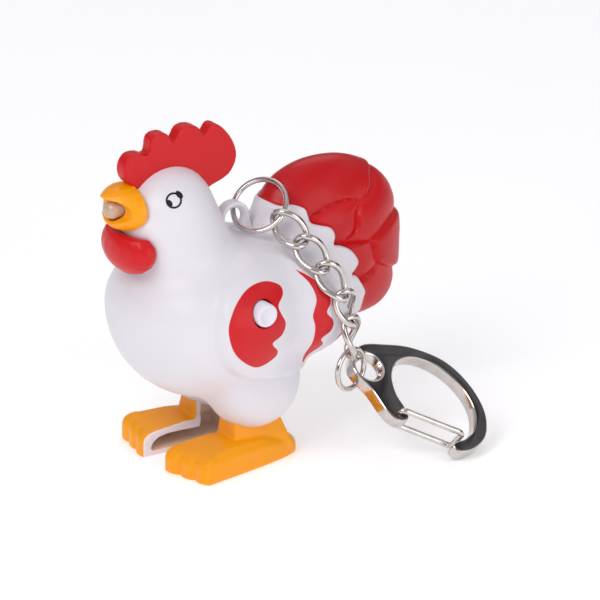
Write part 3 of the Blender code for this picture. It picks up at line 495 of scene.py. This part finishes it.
def shell_paint(nodes):
    """White with the wing's red patches and the printed eye; both sides alike."""
    patches = nodes.spread(nodes.attribute("wing_paint"), 1.0, 0.0, -PAINT_EDGE, PAINT_EDGE, soft=True)
    base = nodes.mix(patches, WHITE, RED)
    shift = nodes.vector("ABSOLUTE", nodes.vector("SUBTRACT", nodes.place, (ORIGIN[0] * MM, 0, 0)))
    parts = nodes.add("ShaderNodeSeparateXYZ")
    nodes.put(shift, parts.inputs[0])
    given = nodes.add("ShaderNodeSeparateXYZ")
    nodes.put(nodes.place, given.inputs[0])
    joined = nodes.add("ShaderNodeCombineXYZ")
    for source, target in ((parts.outputs[0], 0), (given.outputs[1], 1), (given.outputs[2], 2)):
        nodes.put(source, joined.inputs[target])
    middle = ((EYE_AT[0]) * MM, (EYE_AT[1] + ORIGIN[1]) * MM, EYE_AT[2] * MM)
    spot = nodes.vector("SUBTRACT", joined.outputs[0], middle)
    across = nodes.math("DIVIDE", nodes.vector("DOT_PRODUCT", spot, EYE_ACROSS), MM)
    up = nodes.math("DIVIDE", nodes.vector("DOT_PRODUCT", spot, EYE_UP), MM)
    near = nodes.math("DIVIDE", nodes.vector("LENGTH", spot), MM)

    def oval(centre_x, centre_y, long, short, turn):
        x = nodes.math("SUBTRACT", across, centre_x)
        y = nodes.math("SUBTRACT", up, centre_y)
        cos, sin = math.cos(turn), math.sin(turn)
        squares = []
        for along_x, along_y in ((cos / long, sin / long), (-sin / short, cos / short)):
            term = nodes.math("ADD", nodes.math("MULTIPLY", x, along_x), nodes.math("MULTIPLY", y, along_y))
            squares.append(nodes.math("POWER", term, 2.0))
        length = nodes.math("SQRT", nodes.math("ADD", *squares))
        return nodes.math("MULTIPLY", nodes.math("SUBTRACT", length, 1.0), short)

    ring = nodes.math("SUBTRACT", nodes.math("ABSOLUTE", oval(0.0, 0.0, EYE_RING, EYE_RING, 0.0)), EYE_LINE)
    lash = oval(0.82, 0.88, 0.72, 0.42, math.radians(-48))
    pupil = oval(-0.66, -0.44, 0.60, 0.42, math.radians(-55))
    ink = nodes.math("MINIMUM", ring, nodes.math("MINIMUM", lash, pupil))
    ink = nodes.math("MAXIMUM", ink, nodes.math("SUBTRACT", near, 3.0))
    print_mask = nodes.spread(ink, 1.0, 0.0, -0.05, 0.05, soft=True)
    return nodes.mix(print_mask, base, INK)


def tail_paint(nodes):
    white = nodes.spread(nodes.attribute("collar"), 1.0, 0.0, -PAINT_EDGE, PAINT_EDGE, soft=True)
    # Red is darkened to 78% along the creases between the feather lobes: painted shade under the overlapping
    # lobes.
    crease = nodes.spread(nodes.attribute("crease"), 0.75, 0.0, 0.0, 1.0)
    red = nodes.mix(crease, RED, tuple(c * 0.78 for c in RED))
    return nodes.mix(white, red, WHITE)


def foot_paint(nodes):
    """Yellow, with the rim that faces the other foot left unpainted; the hollow inside is tinted peach as
    painted reflection of yellow light.
    """
    inner = nodes.spread(nodes.attribute("inner_rim"), 1.0, 0.0, -0.06, 0.06, soft=True)
    hollow = nodes.spread(nodes.attribute("hollow"), 0.0, 1.0, 0.0, 1.0)
    return nodes.mix(hollow, nodes.mix(inner, YELLOW, RIM_WHITE), REFLECTED_PEACH)


def plated(name, colour, rough=0.13, grime=0.35):
    """Bright plate with fine scratches, a little cloudiness and dark in the pits."""
    nodes = Nodes(name)
    cloud = nodes.noise(1.6, detail=4.0)
    shade = nodes.mix(nodes.spread(cloud, 0.0, grime, 0.4, 0.75), colour, tuple(c * 0.5 for c in colour))
    nodes.set(Base_Color=shade, Metallic=1.0)
    nodes.set(Roughness=nodes.spread(nodes.noise(0.6, detail=5.0), rough - 0.05, rough + 0.1, 0.3, 0.7))
    nodes.bump(nodes.noise(0.35, detail=3.0), 0.12, 0.02)
    return nodes.material


def clear_epoxy():
    nodes = Nodes("clear_epoxy")
    tint = nodes.mix(nodes.noise(0.8), srgb(238, 200, 168), srgb(250, 228, 208))
    nodes.set(Base_Color=tint, Roughness=nodes.spread(nodes.noise(0.5), 0.04, 0.12))
    nodes.shader.inputs["Transmission Weight"].default_value = 0.45
    nodes.shader.inputs["IOR"].default_value = 1.52
    return nodes.material


def plain(name, colour, rough=0.5, metallic=0.0, grain=0.8):
    """A simple worked finish with a fine grain, for small and inner pieces."""
    nodes = Nodes(name)
    nodes.set(Base_Color=nodes.mix(nodes.noise(grain, detail=4.0), colour, tuple(c * 0.7 for c in colour)))
    nodes.set(Metallic=metallic, Roughness=nodes.spread(nodes.noise(grain * 0.6), rough - 0.08, rough + 0.1))
    nodes.bump(nodes.noise(grain * 0.4), 0.15, 0.02)
    return nodes.material


SHELL = moulded("white_abs_painted", WHITE, rough=0.36, mottle=0.012, paint=shell_paint, scatter=0.15)
TAIL = moulded("red_abs_collared", RED, rough=0.36, paint=tail_paint)
RED_PLASTIC = moulded("red_abs", RED, rough=0.34)
YELLOW_PLASTIC = moulded("yellow_abs", YELLOW, rough=0.32)
FOOT_PLASTIC = moulded("yellow_abs_foot", YELLOW, rough=0.32, paint=foot_paint)
WHITE_PLASTIC = moulded("white_abs_plain", WHITE, rough=0.34, mottle=0.012, scatter=0.15)
BUTTON_PLASTIC = moulded("white_button_gloss", srgb(228, 224, 234), rough=0.2, mottle=0.01)
CHROME = plated("nickel_plate", srgb(212, 206, 202), rough=0.1)
# The same nickel plate darkened for the clip's flat faces: painted dark reflection, not a different finish.
DARK_REFLECTION_PLATE = plated("nickel_plate_painted_dark_reflection", srgb(92, 88, 88), rough=0.1)
STEEL = plain("steel_turned", srgb(170, 170, 172), rough=0.3, metallic=1.0)
BRASS = plain("brass_strip", srgb(206, 170, 96), rough=0.3, metallic=1.0)
TINNED = plain("tinned_wire_grain", srgb(190, 190, 194), rough=0.35, metallic=1.0)
BOARD = plain("board_lacquer", srgb(20, 92, 48), rough=0.35)
BLACK = plain("black_moulding", srgb(24, 24, 26), rough=0.45)
SLEEVE = plain("wire_sleeve_pvc", srgb(170, 24, 22), rough=0.4)
EPOXY = clear_epoxy()


# ---- body shells ----


def polar_directions(rings, spokes):
    tilt = (math.pi / 2) * np.arange(1, rings + 1) / rings
    turn = math.tau * np.arange(spokes) / spokes
    across = np.cos(tilt)[:, None] * np.ones(spokes)
    grid = np.stack([across, np.sin(tilt)[:, None] * np.cos(turn), np.sin(tilt)[:, None] * np.sin(turn)], -1)
    return np.concatenate([[[1.0, 0.0, 0.0]], grid.reshape(-1, 3)])


def half_surface_faces(rings, spokes, start=0):
    first = start + 1
    fan = [(start, first + i, first + (i + 1) % spokes) for i in range(spokes)]
    return fan + grid_faces(rings, spokes, first)


def half_shell(outer, inner, rings, spokes, side):
    rim_out = 1 + (rings - 1) * spokes
    rim_in = len(outer) + rim_out
    faces = half_surface_faces(rings, spokes) + half_surface_faces(rings, spokes, len(outer))
    for i in range(spokes):
        following = (i + 1) % spokes
        faces.append((rim_out + i, rim_out + following, rim_in + following, rim_in + i))
    return np.concatenate([outer, inner]) * (side, 1, 1), faces


def wing_paint_distance(points):
    y, z = points[:, 1], points[:, 2]
    return np.min([outline_distance(y, z, smooth_outline(corners)) for corners in WING_PAINT], axis=0)


def make_shells():
    rings, spokes = ((70, 190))
    directions = polar_directions(rings, spokes)
    centre = np.array((SEAM, *BODY_CENTRE[1:]))
    outer = cast_out(body_field, centre, directions)
    inner = cast_out(body_field, centre, directions, -SKIN)
    outer[:, 0] += np.where(outer[:, 0] > SEAM + 0.01, wing_relief(outer), 0.0)
    for side, name in ((1, "left"), (-1, "right")):
        data = half_shell(outer, inner, rings, spokes, side)
        shell = new_piece(f"look_shell_{name}", *data, SHELL, "toy", "white_abs")
        if side > 0:
            rim = ((-6.0, BUTTON_RADIUS + 0.3), (0.0, BUTTON_RADIUS + 0.3), (3.0, BUTTON_RADIUS + 0.3))
            cut(shell, turned(rim, (BUTTON_FACE_X - 1.0, *BUTTON_AT), (1, 0, 0)))
        else:
            cut_right_openings(shell)
        set_field(shell, "wing_paint", wing_paint_distance(toy_points(shell)))
        shell.data.shade_smooth()
        shell.data.set_sharp_from_angle(angle=math.radians(50))
        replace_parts(shell, f"body_shell_{name}")


def cut_right_openings(shell):
    """Screw pockets and the sound holes over the speaker."""
    for node in ("shell_screw_chest", "shell_screw_neck", "shell_screw_rump"):
        spot = box_middle(node)
        cut(shell, turned(((-20.0, 1.7), (-4.3, 1.7)), (0.0, spot[1], spot[2]), (1, 0, 0), 32))
    spot = box_middle("speaker")
    for number in range(7):
        angle = math.tau * number / 6
        away = 0.0 if number == 6 else 2.6
        centre = (0.0, spot[1] + away * math.cos(angle), spot[2] + away * math.sin(angle))
        cut(shell, turned(((-20.0, 0.55), (-10.0, 0.55)), centre, (1, 0, 0), 20))


LUG_AT = tuple(joint_at("lug_ring_swing")[1:])
LUG_OUTER = 2.6
LUG_HOLE = 1.5
LUG_THICK = 1.9


def make_lug():
    """The eye that the ring hangs on, flared into the back."""
    y, z = LUG_AT
    turns = np.radians(np.arange(-10, 191, 10))
    arc = [(y + LUG_OUTER * math.cos(t), z + LUG_OUTER * math.sin(t)) for t in turns]
    outline = arc + [(y - LUG_OUTER - 0.9, z - 3.4), (y + LUG_OUTER + 0.9, z - 3.4)]
    half = LUG_THICK / 2
    count = len(outline)
    points = [(x, a, b) for x in (-half, half) for a, b in outline]
    faces = [tuple(range(count)), tuple(range(count, 2 * count)), *grid_faces(2, count)]
    lug = new_piece("look_lug", points, faces, WHITE_PLASTIC, "toy", "white_abs")
    flare = ((-half - 0.8, LUG_HOLE + 1.3), (-0.25, LUG_HOLE), (0.25, LUG_HOLE), (half + 0.8, LUG_HOLE + 1.3))
    cut(lug, turned(flare, (0.0, y, z), (1, 0, 0), 40))
    soften(lug, 0.12, 8)


# ---- tail ----

TAIL_CENTRE = (18.0, 30.6)
TAIL_HALF_THICK = 6.6
TAIL_REACH = (
    (0, 13.6), (22, 13.6), (45, 13.6), (70, 13.2), (90, 13.1), (110, 13.5), (130, 13.9), (150, 13.0),
    (180, 11.0), (215, 10.0), (245, 10.5), (270, 12.2), (295, 15.0), (312, 16.4), (330, 15.2), (346, 13.8),
)
TAIL_CREASES = (
    ((11.5, 35.4), (13.2, 36.6), (15.9, 37.6), (18.9, 38.0), (22.7, 37.6), (24.6, 38.6), (25.4, 40.2)),
    ((22.4, 37.2), (21.3, 35.4), (20.7, 32.9), (18.6, 31.5)),
    ((32.0, 33.2), (28.5, 32.5), (26.7, 31.6), (24.0, 30.5), (20.1, 31.0), (16.6, 31.6)),
    ((24.0, 30.3), (24.8, 28.2), (24.9, 25.9), (23.0, 24.5), (20.6, 24.4)),
    ((24.9, 26.6), (27.5, 25.0), (31.2, 23.4)),
)
COLLAR = (
    (-4.0, 44.0), (5.6, 39.6), (7.5, 38.9), (8.8, 38.4), (10.2, 38.6), (11.9, 37.9), (12.2, 36.8),
    (12.6, 35.7), (13.8, 35.2), (15.6, 34.5), (16.2, 33.2), (15.9, 31.9), (17.2, 31.4), (19.0, 30.3),
    (20.4, 28.3), (20.0, 27.1), (19.2, 26.3), (20.4, 25.6), (21.8, 23.6), (22.4, 21.4), (20.0, 15.0),
    (-4.0, 10.0),
)
CREASE_DEPTH = 0.9
CREASE_WIDTH = 1.7
CREASE_LIP = 0.28
COLLAR_RISE = 0.5


def tail_reach(turn):
    angles = np.radians([angle for angle, _ in TAIL_REACH] + [360 + TAIL_REACH[0][0]])
    reaches = [reach for _, reach in TAIL_REACH] + [TAIL_REACH[0][1]]
    raw = [np.interp((turn + shift) % math.tau, angles, reaches) for shift in (-0.12, -0.06, 0.0, 0.06, 0.12)]
    return np.mean(raw, axis=0)


def tail_field(points):
    away_y, away_z = points[..., 1] - TAIL_CENTRE[0], points[..., 2] - TAIL_CENTRE[1]
    reach = tail_reach(np.arctan2(away_z, away_y))
    scaled = np.stack([points[..., 0] / TAIL_HALF_THICK, away_y / reach, away_z / reach], -1)
    size = np.linalg.norm(scaled, axis=-1)
    radii = np.stack([np.full_like(reach, TAIL_HALF_THICK), reach, reach], -1)
    steep = np.linalg.norm(scaled / radii, axis=-1)
    return size * (size - 1.0) / (steep + 1e-9)


def joined_field(points):
    return blended(tail_field(points), body_field(points), 1.8)


def make_tail():
    rings, spokes = ((76, 200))
    directions = polar_directions(rings, spokes)
    centre = np.array((SEAM, *TAIL_CENTRE))
    surface = cast_out(joined_field, centre, directions, reach=16.8)
    away = slope(joined_field, surface)
    crease = np.zeros(len(surface))
    for line in TAIL_CREASES:
        distance, side = line_side(surface[:, 1], surface[:, 2], smooth_line(line))
        falls = np.where(side > 0, np.exp(-distance / CREASE_WIDTH), np.exp(-distance / CREASE_LIP))
        crease = np.maximum(crease, falls)
    collar = outline_distance(surface[:, 1], surface[:, 2], smooth_outline(COLLAR, 5))
    raised = COLLAR_RISE * smooth_step(0.35, -0.35, collar)
    relief = raised - CREASE_DEPTH * crease * smooth_step(-0.3, 0.5, collar)
    sunk = smooth_step(0.2, 1.6, tail_field(surface) - body_field(surface))
    surface = surface + away * (relief - 0.7 * sunk)[:, None]
    surface[:, 0] = np.maximum(surface[:, 0], SEAM)
    surface[-spokes:, 0] = SEAM
    count = len(surface)
    for side, name in ((1, "left"), (-1, "right")):
        faces = half_surface_faces(rings, spokes)
        faces.append(tuple(range(count - spokes, count)))
        tail = new_piece(f"look_tail_{name}", surface * (side, 1, 1), faces, TAIL, "toy", "red_plastic", 50)
        set_field(tail, "collar", collar)
        # The crease falloff also feeds the paint, which darkens the creases as painted shade.
        set_field(tail, "crease", crease * smooth_step(0.0, 0.4, collar))
        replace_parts(tail, f"tail_half_{name}")


def smooth_line(corners, steps=5):
    corners = np.asarray(corners, dtype=float)
    padded = np.concatenate([[2 * corners[0] - corners[1]], corners, [2 * corners[-1] - corners[-2]]])
    result = []
    for a, b, c, d in zip(padded, padded[1:], padded[2:], padded[3:]):
        for t in np.arange(steps) / steps:
            curve = 2 * b + (c - a) * t + (2 * a - 5 * b + 4 * c - d) * t**2 + (3 * b - a - 3 * c + d) * t**3
            result.append(0.5 * curve)
    return np.array([*result, corners[-1]])


# ---- head, feet, lamp, button ----

COMB_THICK = 2.3
COMB_SHIFT = 0.35
COMB_OUTLINE = (
    (-17.6, 46.9), (-18.3, 49.4), (-17.2, 51.1), (-15.4, 51.2), (-13.9, 50.8), (-13.4, 53.0), (-12.3, 53.7),
    (-10.6, 53.4), (-9.4, 51.9), (-8.2, 53.6), (-6.6, 53.9), (-5.0, 53.3), (-3.9, 51.8), (-2.6, 53.2),
    (-1.0, 52.7), (1.0, 50.2), (1.8, 47.3), (0.4, 44.7), (-2.9, 43.4), (-5.0, 42.5), (-9.0, 43.5),
    (-13.5, 44.5),
)


def make_soft_pieces():
    outline = smooth_outline(COMB_OUTLINE, 4)
    half = COMB_THICK / 2
    count = len(outline)
    points = [(x, y + COMB_SHIFT, z) for x in (-half, half) for y, z in outline]
    faces = [tuple(range(count)), tuple(range(count, 2 * count)), *grid_faces(2, count)]
    comb = new_piece("look_comb", points, faces, RED_PLASTIC, "toy", "red_plastic")
    soften(comb, 0.14, 14)
    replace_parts(comb, "comb")
    soft_copy("wattle", "look_wattle", 0.18, 16, RED_PLASTIC, "toy")
    soft_copy("beak", "look_beak", 0.11, 10, YELLOW_PLASTIC, "toy")
    for side, name in ((1, "left"), (-1, "right")):
        foot = soft_copy(f"foot_{name}", f"look_foot_{name}", 0.16, 26, FOOT_PLASTIC, "toy")
        points = toy_points(foot)
        inner = np.abs(points[:, 0]) - 3.05 - 0.09 * np.maximum(points[:, 2] - 4.0, 0.0)
        set_field(foot, "inner_rim", inner)
        # The hollow's depth places the peach tint: painted reflection inside the hollow.
        set_field(foot, "hollow", smooth_step(0.0, 0.25, foot_depth(points)))


def foot_depth(points):
    """How far a point lies within the hollow's walls, in millimetres."""
    x = np.abs(points[:, 0])
    y, z = points[:, 1], points[:, 2]
    front = y + 11.4 - 0.237 * (x - 2.9)
    outer_wall = 11.0 - 0.18 * (y + 9.0) - x
    slab = np.minimum.reduce([z - 0.55, 3.25 - z, front, front + 2.2 - z, 4.3 - y, outer_wall, x - 3.05])
    up = z - 2.0
    leg = np.minimum.reduce([up, 11.0 - z, y + 2.2, 7.2 - 0.45 * up - y, 7.8 - 0.2 * up - x, x - 3.3])
    return np.maximum(slab, leg)


def make_lamp():
    low, high = lamp_low, lamp_high
    z = (low[2] + high[2]) / 2 / MM
    turns = np.radians(np.arange(4, 91, 6))
    dome = [(LAMP_TIP_Y + 1.5 - 1.5 * math.cos(t), 1.5 * math.sin(t)) for t in turns]
    back = high[1] / MM - ORIGIN[1]
    profile = dome + [(back - 1.0, 1.5), (back - 0.98, 1.72), (back - 0.06, 1.75), (back, 1.7)]
    lamp = new_piece("look_lamp", *turned(profile, (0, 0, z), (0, 1, 0)), EPOXY, "toy", "clear_epoxy")
    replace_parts(lamp, "led_lamp")
    cup = ((-18.0, 0.7), (-17.4, 0.42), (-17.38, 0.3), (-16.2, 0.3))
    post = ((-17.9, 0.2), (-16.2, 0.2))
    for name, rows, x, sides in (("look_lamp_cup", cup, 0.25, 24), ("look_lamp_post", post, -0.7, 16)):
        new_piece(name, *turned(rows, (x, 0, z), (0, 1, 0), sides), TINNED, "toy", "tinned_wire")


def make_button():
    face = BUTTON_FACE_X
    r = BUTTON_RADIUS
    profile = (
        (-6.4, 1.1), (-5.4, 1.1), (-5.38, r), (-0.5, r), (-0.2, r - 0.08), (-0.04, r - 0.24), (0.0, r - 0.42),
        (-0.06, r - 0.62), (-0.22, r - 0.85), (-0.34, r - 1.2), (-0.38, 0.25),
    )
    data = turned(profile, (face, *BUTTON_AT), (1, 0, 0), 64)
    button = new_piece("look_button", *data, BUTTON_PLASTIC, "button", "white_button", 60)
    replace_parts(button, "push_button")


# ---- chain and clip ----

LINK_LENGTH = 7.5
LINK_WIDTH = 5.0
LINK_WIRE = 1.0
LINK_TWIST = math.radians(-46)
LINK_PITCH = 5.2
LINK_TURNS = (-8, 15, 35, 55, 78)
RING_WIRE = 0.85
LUG_RING_RADIUS = 4.3
LUG_RING_NORMAL = (0.35, -0.636, 0.688)
CLIP_RING_RADIUS = 3.1
CLIP_RING_ACROSS = (-0.30, 0.954, 0.0)
CLIP_ALONG = (0.59, 0.515, -0.63)
CLIP_NORMAL = (0.65, 0.14, 0.74)
CLIP_THICK = 2.2
CLIP_EYE_RADIUS = 1.9
GATE_WIRE = 0.95
GATE_PIVOT = (8.0, -3.1)
GATE_END = (17.3, 1.5)
CLIP_OUTLINE = (
    (-3.3, 0.2), (-2.8, 2.9), (-0.6, 5.6), (3.0, 9.0), (8.0, 11.4), (13.0, 11.3), (17.6, 9.2),
    (20.2, 5.6), (20.3, 1.8), (18.9, -0.9), (17.5, -1.0), (17.4, 0.2), (18.2, 1.9), (18.2, 4.8),
    (16.2, 7.9), (12.6, 9.6), (8.4, 9.6), (4.6, 7.8), (2.9, 5.0), (3.4, 2.0), (5.6, -0.4), (8.2, -1.6),
    (9.6, -2.8), (8.8, -4.4), (6.4, -4.6), (2.6, -3.25), (-1.6, -2.5),
)


def link_path(start, heading, turn, steps=72):
    length, width = (LINK_LENGTH - LINK_WIRE) / 2, (LINK_WIDTH - LINK_WIRE) / 2
    facing = math.cos(turn) * np.array((0.78, -0.51, 0.37)) + math.sin(turn) * np.array((0.545, 0.839, 0.0))
    side = unit(np.cross(facing, heading))
    up = np.cross(heading, side)
    centre = start + heading * LINK_PITCH / 2
    path = []
    for angle in math.tau * np.arange(steps) / steps:
        along = length * math.cos(angle)
        across = width * math.copysign(abs(math.sin(angle)) ** 0.85, math.sin(angle))
        twist = LINK_TWIST * along / length
        path.append(centre + along * heading + across * (math.cos(twist) * side + math.sin(twist) * up))
    return path


def circle(centre, radius, first, second, count=96):
    turns = math.tau * np.arange(count) / count
    return [np.asarray(centre) + radius * (math.cos(t) * first + math.sin(t) * second) for t in turns]


def make_chain():
    names = [f"link_{number}_swing" for number in range(1, 6)] + ["clip_ring_swing"]
    spots = [joint_at(name) for name in names]
    for number, turn in enumerate(LINK_TURNS, 1):
        start, end = spots[number - 1], spots[number]
        path = link_path(start, unit(end - start), math.radians(turn))
        node = f"chain_link_{number}"
        data = tube(path, LINK_WIRE / 2, closed=True)
        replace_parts(new_piece(f"look_link_{number}", *data, CHROME, node, "chrome"), node)
    normal = unit(LUG_RING_NORMAL)
    first = unit(np.cross(normal, (0, 0, 1)))
    rings = (
        ("lug_ring", LUG_RING_RADIUS, first, np.cross(normal, first)),
        ("clip_ring", CLIP_RING_RADIUS, unit(CLIP_RING_ACROSS), np.array((0.0, 0.0, 1.0))),
    )
    for name, radius, across, along in rings:
        path = circle(box_middle(name), radius, across, along)
        ring = new_piece(f"look_{name}", *tube(path, RING_WIRE / 2, closed=True), CHROME, name, "chrome")
        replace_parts(ring, name)


def make_clip():
    eye = joint_at("clip_swing")
    normal = unit(CLIP_NORMAL)
    along = unit(CLIP_ALONG)
    along = unit(along - normal * (along @ normal))
    across = np.cross(normal, along)

    def place(a, b, h):
        return eye + a * along + b * across + h * normal

    half = CLIP_THICK / 2
    outline = smooth_outline(CLIP_OUTLINE, 7)
    count = len(outline)
    points = [place(a, b, h) for h in (-half, half) for a, b in outline]
    faces = [tuple(range(count)), tuple(range(count, 2 * count)), *grid_faces(2, count)]
    clip = new_piece("look_clip", points, faces, CHROME, "clip_body", "chrome", 30)
    wide = CLIP_EYE_RADIUS + 1.1
    hole = ((-half - 0.8, wide), (-0.3, CLIP_EYE_RADIUS), (0.3, CLIP_EYE_RADIUS), (half + 0.8, wide))
    cut(clip, turned(hole, eye, normal, 64))
    bevel = clip.modifiers.new("edge", "BEVEL")
    bevel.width = 0.22 * MM
    bevel.segments = 3
    bevel.limit_method = "ANGLE"
    bevel.angle_limit = math.radians(35)
    apply_modifiers(clip)
    # The flat faces get the darkened plate as a painted dark reflection of the surroundings.
    clip.data.materials.append(DARK_REFLECTION_PLATE)
    clip.data.shade_smooth()
    clip.data.set_sharp_from_angle(angle=math.radians(28))
    for face in clip.data.polygons:
        if abs(np.dot(face.normal, normal)) > 0.995:
            face.material_index = 1
    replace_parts(clip, "clip_body")
    start, end = np.array(GATE_PIVOT), np.array(GATE_END)
    arm_height = half + 0.3 + GATE_WIRE / 2
    arms = []
    for sign in (1, -1):
        arm = [(*start, sign * 0.5), (*start, sign * (arm_height - 0.5))]
        arm.append((start[0] + 0.5, start[1] + 0.25, sign * arm_height))
        arm += [(*(start + share * (end - start)), sign * arm_height) for share in (0.2, 0.4, 0.6, 0.8, 0.94)]
        arms.append(arm)
    route = arms[0] + [(*end, arm_height - 0.5), (*end, 0.0), (*end, 0.5 - arm_height)] + arms[1][::-1]
    path = [place(*spot) for spot in smooth_line(route, 6)]
    gate = new_piece("look_gate", *tube(path, GATE_WIRE / 2), CHROME, "wire_gate", "chrome")
    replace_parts(gate, "wire_gate")


# ---- carried-over CAD nodes ----

CAD_FINISHES = {
    STEEL: (
        "shell_screw_chest", "shell_screw_neck", "shell_screw_rump",
        "button_cell_1", "button_cell_2", "button_cell_3", "speaker",
    ),
    BRASS: ("battery_contact_plus", "battery_contact_minus"),
    TINNED: ("led_lead_1", "led_lead_2"),
    BOARD: ("circuit_board",),
    BLACK: ("sound_chip", "switch_body", "switch_plunger", "battery_tray"),
    SLEEVE: ("lamp_wire_1", "lamp_wire_2", "speaker_wire_1", "speaker_wire_2"),
}


def finish_cad_nodes():
    for material, names in CAD_FINISHES.items():
        for name in names:
            for slot in NODES[name].material_slots:
                slot.material = material


# ---- stage, light and camera ----

AIM = (0.0, 14.25, 21.0)
AZIMUTH, ELEVATION = math.radians(57), math.radians(21.5)
VIEW_WIDTH = 90.9
DISTANCE = 3500.0


def view_from(azimuth, elevation):
    level = math.cos(elevation)
    return np.array((math.sin(azimuth) * level, -math.cos(azimuth) * level, math.sin(elevation)))


def look_at(thing, spot, target):
    thing.location = spot
    thing.rotation_euler = (Vector(target) - Vector(spot)).to_track_quat("-Z", "Y").to_euler()


def make_stage():
    size = 900.0
    count = 24
    steps = np.linspace(-size, size, count)
    points = [(x, y, 0.0) for y in steps for x in steps]
    mesh = bpy.data.meshes.new("stage_floor")
    mesh.from_pydata([tuple(p) for p in to_row(points)], [], grid_faces(count, count, closed=False))
    floor = bpy.data.objects.new("stage_floor", mesh)
    bpy.context.collection.objects.link(floor)
    nodes = Nodes("stage_paper")
    nodes.set(Base_Color=nodes.mix(nodes.noise(40.0), (0.93, 0.93, 0.935), (0.9, 0.9, 0.905)), Roughness=0.9)
    nodes.shader.inputs["Emission Color"].default_value = (1.0, 1.0, 1.0, 1.0)
    nodes.shader.inputs["Emission Strength"].default_value = 0.3
    floor.data.materials.append(nodes.material)


def add_area(name, azimuth, elevation, distance, size, watts, colour=(1, 1, 1)):
    data = bpy.data.lights.new(name, "AREA")
    data.shape = "DISK"
    data.size = size * MM
    data.energy = watts
    data.color = colour
    lamp = bpy.data.objects.new(name, data)
    bpy.context.collection.objects.link(lamp)
    target = to_row(AIM)
    spot = target + view_from(math.radians(azimuth), math.radians(elevation)) * distance * MM
    look_at(lamp, tuple(spot), tuple(target))


def make_light():
    add_area("key_light", 25, 42, 420, 240, 0.68)
    add_area("fill_light", 105, 14, 480, 340, 0.52)
    add_area("back_light", 230, 50, 460, 300, 0.2)
    world = bpy.data.worlds.new("studio")
    world.use_nodes = True
    background = world.node_tree.nodes["Background"]
    tree = world.node_tree
    place = tree.nodes.new("ShaderNodeTexCoord")
    parts = tree.nodes.new("ShaderNodeSeparateXYZ")
    tree.links.new(place.outputs["Generated"], parts.inputs[0])
    ramp = tree.nodes.new("ShaderNodeValToRGB")
    tree.links.new(parts.outputs[2], ramp.inputs[0])
    ramp.color_ramp.elements[0].position = 0.0
    ramp.color_ramp.elements[0].color = (0.86, 0.86, 0.9, 1.0)
    ramp.color_ramp.elements[1].position = 1.0
    ramp.color_ramp.elements[1].color = (0.95, 0.95, 1.0, 1.0)
    for spot, level in ((0.12, 0.7), (0.2, 0.1), (0.36, 0.07), (0.46, 0.55), (0.62, 1.0), (0.8, 0.25)):
        element = ramp.color_ramp.elements.new(spot)
        element.color = (level, level, level * 1.03, 1.0)
    tree.links.new(ramp.outputs[0], background.inputs["Color"])
    background.inputs["Strength"].default_value = 0.84
    bpy.context.scene.world = world


def make_camera():
    data = bpy.data.cameras.new("camera")
    data.sensor_width = 36.0
    data.lens = 36.0 * DISTANCE / VIEW_WIDTH
    data.clip_start = 0.01
    data.clip_end = 100.0
    camera = bpy.data.objects.new("camera", data)
    bpy.context.collection.objects.link(camera)
    target = to_row(AIM)
    look_at(camera, tuple(target + view_from(AZIMUTH, ELEVATION) * DISTANCE * MM), tuple(target))
    bpy.context.scene.camera = camera
    bpy.context.scene.view_settings.view_transform = "Standard"


make_shells()
make_lug()
make_tail()
make_soft_pieces()
make_lamp()
make_button()
make_chain()
make_clip()
finish_cad_nodes()
make_stage()
make_light()
make_camera()
